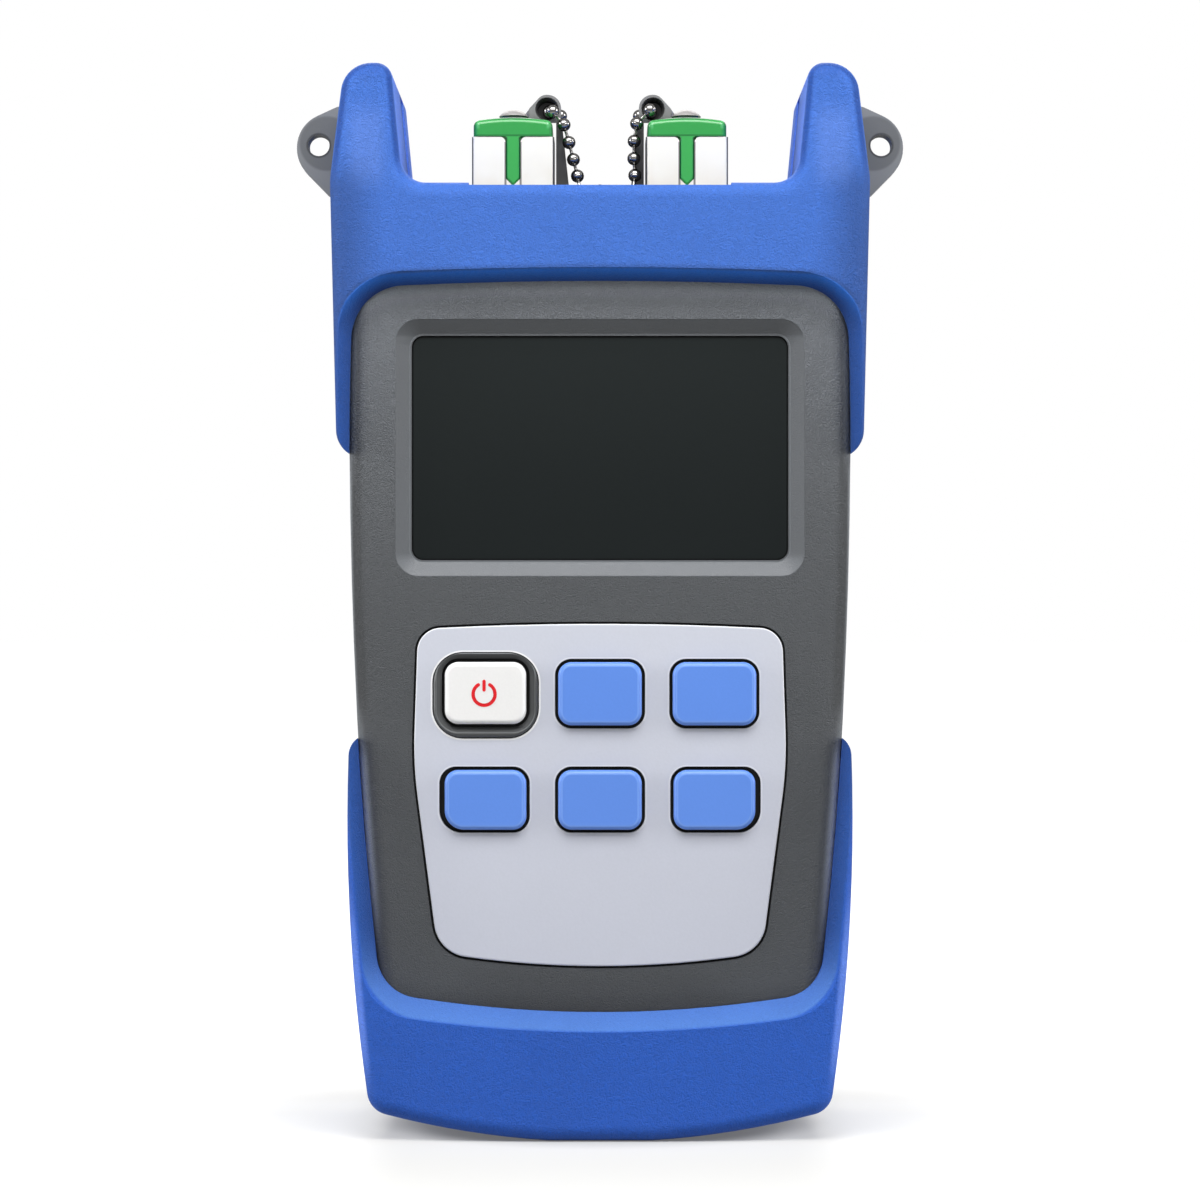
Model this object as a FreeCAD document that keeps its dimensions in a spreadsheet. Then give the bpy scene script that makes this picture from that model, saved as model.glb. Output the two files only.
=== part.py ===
import FreeCAD, Part
import math
import os
import re
import Sketcher
from FreeCAD import Placement, Rotation, Vector

# A handheld optical power meter with two capped fibre ports between rubber horns.
# Millimetres. X is to the right of the person using it, the keys face -Y, and +Z is up.
# The origin is under the middle of the meter, on the surface that it stands on.

# Driving dimensions: name, millimetres, and what it measures.
SIZES = [
    # casing
    ("case_depth", 35.0, "front face to back face of the two shells"),
    ("case_wall", 2.2, "shell wall"),
    ("case_split", 3.0, "parting plane, ahead of the middle"),
    ("case_edge", 3.2, "rounding round the front and back faces"),
    ("case_top", 143.2, "top of the shells"),
    ("case_top_half", 38.6, "half width at the top"),
    ("case_top_corner", 5.0, "corner radius at the top"),
    ("case_foot", 7.2, "height of the lower corners"),
    ("case_foot_half", 33.2, "half width at the lower corners"),
    ("case_foot_corner", 9.0, "corner radius at the bottom"),
    ("case_foot_bow", 3.8, "how far the bottom bows down"),
    ("case_side_bow", 2.4, "how far each side bows out"),
    ("wall_sink", 0.5, "how far a post, rib or ledge reaches into the wall that carries it"),
    ("cut_past", 1.0, "how far a cut reaches past the faces that it opens"),
    ("touch_gap", 0.02, "gap between pieces that touch"),
    ("seat_gap", 0.05, "gap between pieces that sit against each other"),
    # rubber boots
    ("boot_depth", 42.0, "front face to back face of both boots"),
    ("boot_edge", 2.4, "rounding of the boots' outer edges"),
    ("boot_fit", 0.15, "clearance between a boot and the casing"),
    ("boot_lip", 148.0, "top of the lip round the port well"),
    ("horn_top", 166.5, "top of the horns"),
    ("horn_outer", 39.5, "horn's outer corner"),
    ("horn_inner", 32.3, "horn's inner top corner"),
    ("horn_root", 30.5, "horn's inner side at the lip"),
    ("horn_outer_corner", 4.7, "outer top radius of a horn"),
    ("horn_inner_corner", 2.5, "inner top radius of a horn"),
    ("horn_root_corner", 4.0, "hollow radius at the root of a horn"),
    ("shoulder", 148.5, "height where the horns lean inwards"),
    ("shoulder_half", 41.75, "half width of the top boot at the shoulder"),
    ("shoulder_round", 12.0, "its radius"),
    ("upper_arm_tip", 105.4, "lower end of the top boot's arms"),
    ("upper_arm_half", 40.7, "half width there"),
    ("lower_arm_tip", 62.8, "upper end of the bottom boot's arms"),
    ("lower_arm_half", 38.75, "half width there"),
    ("arm_corner", 4.4, "radius of the top boot's arms"),
    ("lower_arm_corner", 3.4, "radius of the bottom boot's arms"),
    ("lower_side_bow", 1.45, "how far the bottom boot's sides bow out"),
    ("heel", 4.7, "height of the bottom boot's corners"),
    ("heel_half", 35.6, "half width there"),
    ("heel_corner", 3.8, "their radius"),
    ("sole_half", 8.0, "half width of the flat sole"),
    ("sole_bow", 0.73, "how far the sole bows down between the flat and a corner"),
    ("horn_groove", 8.0, "width of the groove down each horn's inner side"),
    ("horn_groove_mid", 6.0, "its middle, behind the middle of the meter"),
    ("horn_groove_deep", 0.8, "its depth"),
    ("horn_groove_foot", 2.2, "how far it starts above the lip"),
    ("horn_groove_top", 1.8, "how far it ends below the top of the horn"),
    ("notch_half", 20.3, "half width of the shallow notch in the lips"),
    ("notch_deep", 0.5, "its depth"),
    # window in the boots, through which the casing shows
    ("view_top", 131.8, "upper corners of the window"),
    ("view_top_half", 38.3, "half width there"),
    ("view_top_corner", 8.5, "corner radius"),
    ("view_top_bow", 1.1, "how far the top edge bows up"),
    ("view_foot", 22.85, "lower corners of the window"),
    ("view_foot_half", 34.0, "half width there"),
    ("view_foot_corner", 7.0, "corner radius"),
    ("view_foot_bow", 3.15, "how far the bottom edge bows down"),
    ("view_side_bow", 2.25, "how far each side bows out"),
    ("view_flare", 2.2, "how far the bevel opens out sideways to the boots' faces"),
    ("view_flare_top", 1.85, "how far it opens out at the top"),
    ("view_flare_foot", 2.75, "how far it opens out at the bottom"),
    ("view_sink", 5.2, "how far the window is cut in, past the casing's rounded edge"),
    ("view_land", 0.5, "upright edge where the bevel meets the casing"),
    # well between the lips, and the port panel in it
    ("well_half", 29.5, "half width of the well"),
    ("well_half_deep", 13.2, "half of its front to back size"),
    ("well_corner", 3.0, "corner radius"),
    ("hatch_half", 27.4, "half width of the casing's top opening"),
    ("hatch_half_deep", 12.6, "half of its front to back size"),
    ("panel_thick", 2.0, "port panel thickness"),
    ("panel_margin", 1.7, "how far the panel reaches under the casing"),
    ("panel_gap", 0.1, "clearance of the panel under the casing's top"),
    ("ledge", 1.6, "ledges that carry the panel"),
    # strap lugs
    ("lug_thick", 3.4, "strap lug thickness"),
    ("lug_mid", 0.5, "its middle, behind the middle of the meter"),
    ("lug_hole", 1.7, "eyelet radius"),
    ("lug_reach", 48.1, "outermost point of a lug"),
    ("lug_eye_in", 3.2, "from the outermost point to the eyelet's centre"),
    ("lug_eye_up", 156.1, "eyelet centre, height"),
    ("lug_foot", 148.0, "where the lug's lower edge leaves the boot"),
    ("lug_top", 162.3, "where its upper edge leaves the boot"),
    ("lug_round", 33.0, "rounding of its end times its length, so that a long lug stays closed"),
    ("lug_base", 3.6, "the part of that length that lies inside the boot"),
    ("lug_root", 1.0, "where the lug starts, from the rib's inner side"),
    ("lug_neck_low", 8.7, "where its lower edge turns outwards, from there"),
    ("lug_neck_high", 7.4, "where its upper edge does"),
    ("lug_neck_round", 1.5, "radius of both turns"),
    ("lug_point", 0.3, "how far the end's sharp corners lie past the rounded end"),
    ("lug_low", 2.8, "the lower one, below the eyelet's centre"),
    ("lug_high", 3.2, "the upper one, above it"),
    ("core_in", 34.5, "inner side of the rib inside each horn"),
    ("core_thick", 4.0, "thickness of that rib"),
    ("core_top", 161.2, "top of that rib"),
    ("core_back", 13.5, "back of that rib"),
    ("core_lead", 1.0, "how far its front lies ahead of the lug's"),
    ("core_sink", 1.0, "how far it starts below the casing's top wall"),
    ("core_round", 1.6, "radius of its upper corners"),
    # display
    ("display_mid", 107.1, "height of the display's middle"),
    ("display_wide", 58.4, "visible width"),
    ("display_high", 34.8, "visible height"),
    ("display_corner", 1.75, "corner radius"),
    ("bezel_wide", 2.2, "width of the bevel round it"),
    ("bezel_sill", 0.35, "flat edge inside the bevel"),
    ("bezel_deep", 1.3, "depth of the bevel"),
    ("bezel_corner", 3.6, "outer corner radius of the bevel"),
    ("window_thick", 1.2, "flange of the display window"),
    ("window_rim", 2.8, "how far that flange reaches behind the shell"),
    ("window_corner", 1.5, "corner radius of that flange"),
    ("window_drop", 0.35, "how far the window's face lies behind the bevel"),
    ("window_gap", 0.2, "clearance round the raised part"),
    ("glass_thick", 2.2, "liquid crystal cell"),
    ("glass_rim", 1.2, "how far the cell reaches past the visible part"),
    ("stack_gap", 0.1, "gap between the display's layers"),
    ("backlight_rim", 1.0, "how far the backlight reaches past the cell"),
    ("backlight_corner", 1.0, "its corner radius"),
    # keypad
    ("pad_top", 79.0, "upper corners of the keypad plate"),
    ("pad_top_half", 28.2, "half width there"),
    ("pad_top_corner", 3.7, "corner radius"),
    ("pad_top_bow", 0.8, "how far the top edge bows up"),
    ("pad_waist", 58.0, "height of its widest point"),
    ("pad_waist_half", 28.9, "half width there"),
    ("pad_waist_curve", 60.0, "radius there"),
    ("pad_foot", 28.9, "lower corners"),
    ("pad_foot_half", 25.1, "half width there"),
    ("pad_foot_corner", 5.6, "corner radius"),
    ("pad_foot_bow", 2.1, "how far the bottom edge bows down"),
    ("pad_thick", 1.1, "keypad plate thickness"),
    ("pad_recess", 0.8, "depth of the recess that it lies in"),
    ("pad_gap", 0.35, "gap round it"),
    ("pad_edge", 0.25, "rounding of its face"),
    ("key_wide", 12.95, "key width"),
    ("key_high", 9.8, "height of the upper keys"),
    ("low_key_high", 9.25, "height of the lower keys"),
    ("side_key_wide", 12.65, "width of the lower outer keys"),
    ("key_corner", 2.1, "corner radius of a key"),
    ("side_key_room", 0.35, "more room on their outer side"),
    ("side_key_corner", 3.0, "outer lower corner of the lower outer keys"),
    ("key_gap", 0.5, "gap round a key"),
    ("key_pitch", 17.7, "sideways spacing of the keys"),
    ("key_row_upper", 69.0, "height of the upper row"),
    ("key_row_lower", 52.6, "height of the lower row"),
    ("key_proud", 1.3, "how far a key stands out of the plate"),
    ("key_edge", 0.75, "rounding of a key's face"),
    ("key_flange", 1.0, "flange that keeps a key in"),
    ("key_flange_wide", 1.1, "how far the flange reaches past the key"),
    ("key_stem", 4.0, "width of the stem that reaches the switch"),
    ("key_travel", 1.0, "how far a key goes in"),
    ("key_seat", 0.1, "clearance under the shell, and at the end of the travel"),
    ("power_wide", 12.6, "width of the power key"),
    ("power_high", 9.6, "height of the power key"),
    ("power_rise", 0.12, "how far it sits above the row's middle"),
    ("collar_wide", 16.2, "collar round the power key, width"),
    ("collar_high", 13.1, "collar height"),
    ("collar_corner", 4.6, "collar corner radius"),
    ("collar_drop", 0.25, "how far its middle sits below the row's"),
    ("collar_proud", 0.5, "how far it stands out of the plate"),
    ("collar_gap", 0.15, "gap between the plate and the collar"),
    ("collar_edge", 0.6, "rounding of its crest"),
    ("collar_flare", 1.0, "how far its hollow opens out"),
    ("collar_hollow", 0.4, "how far the hollow reaches below the plate's face"),
    # circuit board
    ("board_front", 7.6, "front of the board, ahead of the middle"),
    ("board_thick", 1.6, "board thickness"),
    ("board_half", 31.5, "half width"),
    ("board_foot", 20.5, "lower edge"),
    ("board_top", 129.4, "upper edge"),
    ("board_corner", 2.0, "corner radius"),
    ("board_boss", 2.5, "radius of the posts that carry the board"),
    ("board_screw_out", 28.4, "board screws, sideways"),
    ("board_screw_low", 27.0, "lower pair"),
    ("board_screw_high", 82.6, "upper pair"),
    ("small_screw", 0.95, "radius of the small screws"),
    ("small_head", 1.8, "radius of their heads"),
    ("small_head_thick", 1.2, "their height"),
    ("board_screw_long", 6.0, "length of a board screw's shank"),
    ("adapter_screw_long", 4.4, "length of an adapter screw's shank"),
    ("recess_wide", 0.5, "width of the cross recess in a screw's head"),
    ("recess_deep", 0.5, "its depth"),
    ("recess_share", 0.7, "its reach, as a share of the head's radius"),
    ("switch_wide", 6.2, "tactile switch"),
    ("switch_thick", 1.6, "its body"),
    ("switch_plunger", 0.6, "its plunger's height"),
    ("plunger_radius", 1.7, "radius of the plunger"),
    ("buzzer_out", 24.0, "sounder, sideways"),
    ("buzzer_up", 106.0, "its height"),
    ("buzzer_radius", 5.0, "its radius"),
    ("buzzer_thick", 3.6, "its thickness"),
    ("buzzer_hole", 0.8, "radius of its sound hole"),
    ("buzzer_hole_deep", 1.0, "depth of that hole"),
    # casing screws
    ("screw_low_out", 26.6, "lower casing screws, sideways"),
    ("screw_low", 15.2, "their height"),
    ("screw_high_out", 32.6, "upper casing screws, sideways"),
    ("screw_high", 134.0, "their height"),
    ("screw_radius", 1.4, "shank radius"),
    ("screw_head", 2.7, "head radius"),
    ("screw_head_thick", 1.8, "head height"),
    ("screw_bite", 8.0, "length of thread in the front shell"),
    ("screw_post", 3.3, "radius of the posts round them"),
    ("screw_play", 0.2, "clearance round and over a sunk head"),
    ("screw_end_gap", 0.5, "gap between a screw's tip and the end of its hole"),
    ("thread_fit", 0.02, "clearance of a screw in the hole that it bites in"),
    ("slip_fit", 0.1, "clearance of a screw in its clearance hole"),
    # battery bay
    ("cell_radius", 7.05, "AA cell radius"),
    ("cell_pitch", 15.0, "spacing of the cells"),
    ("cell_body", 49.4, "length without the terminal"),
    ("cell_nub", 1.1, "terminal height"),
    ("cell_nub_radius", 2.7, "terminal radius"),
    ("cell_gap", 0.25, "gap between the cells and the door"),
    ("cell_play", 0.2, "gap between the cells and the floor of the bay"),
    ("bay_slack", 0.4, "free play round the cells"),
    ("bay_wall", 1.6, "walls of the bay"),
    ("bay_corner", 1.0, "outer corner radius of the bay"),
    ("bay_foot", 34.0, "floor of the bay"),
    ("bay_spring", 5.7, "room for the spring contacts"),
    ("bay_plate", 4.6, "room for the plate contacts"),
    ("door_thick", 2.0, "battery door"),
    ("door_gap", 0.2, "gap round the door"),
    ("door_step", 2.0, "how far the wall reaches below the door's opening"),
    ("door_tab_wide", 4.6, "hinge tabs"),
    ("door_tab_thick", 1.6, "their thickness"),
    ("door_tab_long", 1.6, "how far they reach behind the wall"),
    ("door_tab_root", 2.0, "how far a tab overlaps the door"),
    ("door_rib", 1.2, "width and height of the ribs on its inner face"),
    ("door_rib_short", 16.0, "how much shorter than the door they are"),
    ("latch_wide", 13.0, "latch tongue"),
    ("latch_long", 10.0, "its length"),
    ("latch_slot", 0.8, "slot on each side of the tongue"),
    ("grip_drop", 3.0, "first finger groove, below the tongue's end"),
    ("grip_pitch", 1.8, "spacing of the finger grooves"),
    ("grip_high", 0.9, "height of a groove"),
    ("grip_deep", 0.5, "its depth"),
    ("grip_margin", 1.5, "from a groove's end to the tongue's side"),
    ("contact_thick", 0.4, "sheet of the contacts"),
    ("contact_wide", 7.0, "their width"),
    ("contact_play", 0.15, "gap between a contact and its cell"),
    ("contact_button", 2.2, "radius of the raised button"),
    # fibre ports
    ("port_out", 13.8, "port centres, sideways"),
    ("port_wide", 13.05, "adapter shell width"),
    ("port_deep", 9.3, "adapter shell, front to back"),
    ("port_corner", 0.5, "its corner radius"),
    ("port_top", 157.0, "its rim"),
    ("port_foot", 127.9, "its lower end"),
    ("socket_wide", 9.2, "socket width"),
    ("socket_deep", 7.5, "socket, front to back"),
    ("socket_corner", 0.3, "corner radius of the socket and the plug"),
    ("socket_web", 3.0, "web between the upper and lower sockets"),
    ("keyway_wide", 2.4, "keyway width"),
    ("keyway_foot", 149.2, "point of the keyway"),
    ("keyway_shoulder", 0.9, "rounding where the keyway meets the rim"),
    ("flange_half", 11.0, "half width of the adapter's flange"),
    ("flange_thick", 1.6, "its thickness"),
    ("flange_corner", 1.0, "its corner radius"),
    ("flange_screw", 8.9, "its screws, from the port's middle"),
    ("port_fit", 0.2, "clearance of the adapter in the panel"),
    ("sleeve_bore", 1.25, "ferrule bore of the alignment sleeve"),
    ("sleeve_radius", 1.6, "its outer radius"),
    ("sleeve_length", 11.4, "its length"),
    ("sleeve_slit", 0.4, "slit along the sleeve"),
    ("holder_radius", 2.6, "tube that holds the sleeve"),
    ("holder_length", 14.0, "its length"),
    ("detector_flange", 4.2, "detector flange radius"),
    ("detector_body", 3.2, "detector body radius"),
    ("detector_can", 2.7, "photodiode can radius"),
    ("detector_can_long", 5.0, "length of the can"),
    ("detector_long", 16.0, "from the adapter to the end of the can"),
    ("detector_flange_foot", 2.6, "from the adapter to the flange's lower face"),
    ("ferrule_fit", 0.01, "clearance of the detector's ferrule in the sleeve"),
    ("ferrule_end", 2.0, "end of that ferrule, below the panel's top"),
    # dust caps
    ("cap_wide", 12.55, "head width"),
    ("cap_deep", 9.5, "head, front to back"),
    ("cap_foot", 157.1, "underside of the head"),
    ("cap_top", 159.6, "upper corners of the head"),
    ("cap_bow", 0.55, "how far the top bows up"),
    ("cap_corner", 1.1, "radius of the upper corners"),
    ("cap_edge", 0.9, "rounding of the head's upright edges"),
    ("cap_plug_foot", 148.8, "lower end of the plug"),
    ("cap_plug_gap", 0.15, "clearance of the plug in the socket"),
    ("cap_key_gap", 0.1, "clearance of the key in the keyway"),
    ("cap_key_proud", 0.1, "how far the head and the key stand out of the shell's face"),
    ("cap_key_edge", 0.25, "bevel of the key's face"),
    ("cap_key_root", 0.6, "how far the key reaches up into the head"),
    ("cap_fillet", 0.5, "hollow between the head and the key"),
    ("cap_bore", 2.95, "hollow in the plug"),
    ("cap_bore_deep", 6.0, "its depth"),
    ("strap_thick", 0.6, "strap under the rivet"),
    ("strap_band", 0.42, "rim of the hood at its front"),
    ("strap_arch_out", 5.3, "middle of the hood, from the cap's middle"),
    ("strap_arch_up", 162.15, "its height"),
    ("strap_arch_radius", 2.27, "its outer radius"),
    ("strap_slope", 4.7, "where its sloping side starts, from the hood's middle"),
    ("strap_crest", 0.83, "width of the hood's flat top, from its middle"),
    ("strap_crest_round", 1.7, "radius where that top turns down"),
    ("strap_drop", 1.0, "where the inner side starts to lean, below the hood's middle"),
    ("strap_drop_round", 3.0, "radius of that turn"),
    ("strap_flat", 0.05, "flat left between the hood's round corners"),
    ("strap_front", 0.4, "front of the hood, behind the middle"),
    ("strap_deep", 2.0, "front to back size of the hood"),
    ("strap_leg_wide", 2.45, "width of the leg beside the port"),
    ("strap_leg_gap", 0.25, "gap between the leg and the port"),
    ("strap_leg_foot", 146.2, "lower end of the leg"),
    ("strap_tab", 1.95, "radius of the tab under the rivet"),
    ("strap_back", 0.35, "wall at the back of the hood"),
    ("strap_floor", 1.35, "radius at the floor of the hood's pocket"),
    ("strap_floor_drop", 0.15, "how far that floor's middle lies below the hood's"),
    ("strap_mouth", 0.55, "radius of the hole that the chain's wire leaves by"),
    ("strap_mouth_in", 1.3, "from the hood's middle to that hole, sideways"),
    ("strap_mouth_drop", 0.55, "how far it lies below the hood's middle"),
    ("rivet_radius", 2.35, "domed rivet"),
    ("rivet_room", 0.15, "clearance of the hood round the rivet's head"),
    ("rivet_rise", 1.1, "height of the dome"),
    ("rivet_bow", 0.32, "how far the dome's side bows out"),
    ("dome_flat", 0.12, "radius of the flat spot on top of a dome"),
    ("rivet_shank", 0.9, "its shank"),
    ("rivet_long", 4.2, "length of the shank"),
    # bead chains
    ("bead", 1.05, "bead radius"),
    ("bead_sides", 8, "flats round a pressed bead"),
    ("link_wire", 0.3, "radius of the wire between beads"),
    ("link_gap", 0.04, "gap between a wire's end and the next bead"),
    ("anchor_ahead", 9.0, "chain post, ahead of the middle"),
    ("anchor_radius", 0.9, "chain post"),
    ("anchor_foot", 1.7, "foot of the post"),
    ("anchor_foot_thick", 0.5, "its thickness"),
    ("anchor_top", 148.9, "top of the post"),
    ("anchor_bow", 0.23, "how far the dome's side bows out"),
    ("chain_ring", 1.7, "ring of the chains round the post"),
]

doc = FreeCAD.newDocument("PowerMeter")
sheet = doc.addObject("Spreadsheet::Sheet", "Sizes")
for line, (name, number, meaning) in enumerate(SIZES, 1):
    sheet.set(f"A{line}", name)
    sheet.set(f"B{line}", str(number))
    sheet.set(f"C{line}", meaning)
    sheet.setAlias(f"B{line}", name)
doc.recompute()

NAMES = {name for name, number, meaning in SIZES}
NAME = re.compile(r"[a-z][a-z_0-9]*")
nodes = {}


def value(expression):
    """The number that an expression of cell names gives now."""
    return float(sheet.evalExpression(str(expression)))


def bound(expression):
    """The same expression as another object's property needs it."""
    return NAME.sub(lambda m: f"Sizes.{m[0]}" if m[0] in NAMES else m[0], str(expression))


def bind(thing, name, expression):
    """Ties a property to the sheet."""
    thing.setExpression(name, bound(expression))


# Sketches

ROLE = {"XZ": "XZ_Plane", "XY": "XY_Plane", "YZ": "YZ_Plane"}
# which way the plane's normal points along the axis that it leaves out
FACING = {"XZ": -1, "XY": 1, "YZ": 1}


def new_body(name):
    """An empty body with a Label of its own."""
    body = doc.addObject("PartDesign::Body", name)
    body.Label = name
    return body


def new_sketch(body, plane, at):
    """A sketch parallel to one of the body's planes, at that coordinate of the axis it leaves out."""
    sketch = body.newObject("Sketcher::SketchObject", f"{body.Name}_sketch")
    support = next(f for f in body.Origin.OriginFeatures if f.Role == ROLE[plane])
    sketch.AttachmentSupport = (support, "")
    sketch.MapMode = "FlatFace"
    bind(sketch, "AttachmentOffset.Base.z", f"{FACING[plane]} * ({at})")
    return sketch


def fix_point(sketch, geometry, end, x, y):
    """Ties a point to the sketch's origin by two bound distances."""
    for kind, axis, expression in (("DistanceX", -2, x), ("DistanceY", -1, y)):
        number = value(expression)
        if abs(number) < 1e-9:
            sketch.addConstraint(Sketcher.Constraint("PointOnObject", geometry, end, axis))
        else:
            row = sketch.addConstraint(Sketcher.Constraint(kind, -1, 1, geometry, end, number))
            bind(sketch, f"Constraints[{row}]", expression)


def edge_directions(a, b, rise):
    """Unit directions in which an edge from a to b, bowed out by rise, leaves and arrives."""
    along = (b - a).normalize()
    out = Vector(along.y, -along.x, 0)
    half = 2 * math.atan2(rise, (b - a).Length / 2)
    leaving = along * math.cos(half) + out * math.sin(half)
    arriving = along * math.cos(half) - out * math.sin(half)
    return leaving, arriving


def corner_arc(point, arriving, leaving, radius):
    """Start, middle and end of the arc that rounds a corner; all the corner itself if it is sharp."""
    if not radius:
        return point, point, point
    turn = arriving.x * leaving.y - arriving.y * leaving.x
    angle = math.atan2(turn, arriving.dot(leaving))
    reach = radius * math.tan(abs(angle) / 2)
    start = point - arriving * reach
    end = point + leaving * reach
    inward = Vector(-arriving.y, arriving.x, 0) * math.copysign(radius, turn)
    centre = start + inward
    middle = centre + ((start + end) / 2 - centre).normalize() * radius
    return start, middle, end


def is_left_turn(a, b, c):
    """Whether the way from a over b to c turns left: sketched arcs are stored anticlockwise."""
    return (b.x - a.x) * (c.y - b.y) - (b.y - a.y) * (c.x - b.x) > 0


def end_near(sketch, geometry, point):
    """1 for the start of a line or arc and 2 for its end, whichever lies at the point."""
    shape = sketch.Geometry[geometry]
    return 1 if (shape.StartPoint - point).Length < (shape.EndPoint - point).Length else 2


def outline(sketch, corners):
    """A closed outline of lines and bowed edges, anticlockwise, with its corners rounded.

    Each corner is (x, y, radius, rise): rise is how far the edge that leaves the corner bows outwards.
    Radius and rise may be left out. Every corner, radius and bow is bound to the sheet.
    """
    corners = [tuple(c) + (0,) * (4 - len(c)) for c in corners]
    count = len(corners)
    points = [Vector(value(c[0]), value(c[1]), 0) for c in corners]
    radii = [value(c[2]) for c in corners]
    rises = [value(c[3]) for c in corners]
    ways = [edge_directions(points[i], points[(i + 1) % count], rises[i]) for i in range(count)]
    arcs = [corner_arc(points[i], ways[i - 1][1], ways[i][0], radii[i]) for i in range(count)]
    edges = []
    for i in range(count):
        a, b = arcs[i][2], arcs[(i + 1) % count][0]
        if rises[i]:
            along = (points[(i + 1) % count] - points[i]).normalize()
            out = Vector(along.y, -along.x, 0)
            top = (points[i] + points[(i + 1) % count]) / 2 + out * rises[i]
            edges.append(sketch.addGeometry(Part.Arc(a, top, b), False))
        else:
            edges.append(sketch.addGeometry(Part.LineSegment(a, b), False))
    for i in range(count):
        before, after = edges[i - 1], edges[i]
        start, middle, end = arcs[i]
        if radii[i]:
            ends = (start, end) if is_left_turn(start, middle, end) else (end, start)
            arc = sketch.addGeometry(Part.Arc(ends[0], middle, ends[1]), False)
            mark = sketch.addGeometry(Part.Point(points[i]), True)
            sketch.addConstraint([
                Sketcher.Constraint("Tangent", before, end_near(sketch, before, start),
                                    arc, end_near(sketch, arc, start)),
                Sketcher.Constraint("Tangent", arc, end_near(sketch, arc, end),
                                    after, end_near(sketch, after, end)),
                Sketcher.Constraint("PointOnObject", mark, 1, before),
                Sketcher.Constraint("PointOnObject", mark, 1, after),
            ])
            row = sketch.addConstraint(Sketcher.Constraint("Radius", arc, radii[i]))
            bind(sketch, f"Constraints[{row}]", corners[i][2])
            fix_point(sketch, mark, 1, corners[i][0], corners[i][1])
        else:
            here = end_near(sketch, after, points[i])
            sketch.addConstraint(Sketcher.Constraint(
                "Coincident", before, end_near(sketch, before, points[i]), after, here))
            fix_point(sketch, after, here, corners[i][0], corners[i][1])
    for i in range(count):
        if rises[i]:
            (x1, y1), (x2, y2) = corners[i][:2], corners[(i + 1) % count][:2]
            rise = f"abs({corners[i][3]})"
            span = f"(({x2}) - ({x1}))^2 + (({y2}) - ({y1}))^2"
            radius = f"({span}) / (8 * {rise}) + {rise} / 2"
            row = sketch.addConstraint(Sketcher.Constraint("Radius", edges[i], value(radius)))
            bind(sketch, f"Constraints[{row}]", radius)


def circle(sketch, x, y, radius):
    """A bound circle."""
    centre = Vector(value(x), value(y), 0)
    round_edge = sketch.addGeometry(Part.Circle(centre, Vector(0, 0, 1), value(radius)), False)
    row = sketch.addConstraint(Sketcher.Constraint("Radius", round_edge, value(radius)))
    bind(sketch, f"Constraints[{row}]", radius)
    fix_point(sketch, round_edge, 3, x, y)


def box_corners(x, y, wide, high, radius=0):
    """Corners of a rounded rectangle round a middle."""
    return [(f"({x}) {sx} ({wide}) / 2", f"({y}) {sy} ({high}) / 2", radius)
            for sx, sy in (("-", "-"), ("+", "-"), ("+", "+"), ("-", "+"))]


def symmetric(half, top_bow=0, foot_bow=0):
    """Closes the right half of an outline, given from its foot to its top, about the middle."""
    right = [tuple(c) + (0,) * (4 - len(c)) for c in half]
    right[-1] = right[-1][:3] + (top_bow,)
    bows = [foot_bow] + [c[3] for c in right[:-1]]
    left = [(f"-({x})", y, radius, bows[i])
            for i, (x, y, radius, bow) in reversed(list(enumerate(right)))]
    return right + left


# Features

def solid_between(body, kind, sketch, plane, start, end):
    """A Pad or Pocket from the coordinate start to the coordinate end of the plane's own axis."""
    rising = value(end) > value(start)
    along_normal = rising == (FACING[plane] > 0)
    feature = body.newObject(f"PartDesign::{kind}", f"{body.Name}_{kind.lower()}")
    feature.Profile = sketch
    reach = f"({end}) - ({start})" if rising else f"({start}) - ({end})"
    bind(feature, "Length", reach)
    feature.Reversed = along_normal if kind == "Pocket" else not along_normal
    sketch.Visibility = False
    body.Tip = feature
    doc.recompute()
    return feature


def prism(body, corners, start, end, plane="XZ", cut=False):
    """Adds or cuts the prism of an outline."""
    sketch = new_sketch(body, plane, start)
    outline(sketch, corners)
    return solid_between(body, "Pocket" if cut else "Pad", sketch, plane, start, end)


def prisms(body, outlines, start, end, plane="XZ", cut=False):
    """Adds or cuts several prisms with one sketch."""
    sketch = new_sketch(body, plane, start)
    for corners in outlines:
        outline(sketch, corners)
    return solid_between(body, "Pocket" if cut else "Pad", sketch, plane, start, end)


def rods(body, circles, start, end, plane="XZ", cut=False):
    """Adds or cuts round rods: circles holds (x, y, radius)."""
    sketch = new_sketch(body, plane, start)
    for x, y, radius in circles:
        circle(sketch, x, y, radius)
    return solid_between(body, "Pocket" if cut else "Pad", sketch, plane, start, end)


def flare(body, near, near_at, far, far_at, plane="XZ", cut=True):
    """Cuts or adds the straight loft between two outlines with the same corners."""
    kind = "SubtractiveLoft" if cut else "AdditiveLoft"
    first = new_sketch(body, plane, near_at)
    outline(first, near)
    second = new_sketch(body, plane, far_at)
    outline(second, far)
    doc.recompute()
    feature = body.newObject(f"PartDesign::{kind}", f"{body.Name}_flare")
    feature.Profile = first
    feature.Sections = [second]
    feature.Ruled = True
    body.Tip = feature
    doc.recompute()
    return feature


def round_edges(body, radius, chosen):
    """Rounds the edges of the body's tip for which chosen(edge) is true."""
    base = body.Tip
    names = [f"Edge{i}" for i, edge in enumerate(base.Shape.Edges, 1) if chosen(edge)]
    feature = body.newObject("PartDesign::Fillet", f"{body.Name}_rounding")
    feature.Base = (base, names)
    bind(feature, "Radius", radius)
    body.Tip = feature
    doc.recompute()
    return feature


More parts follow.
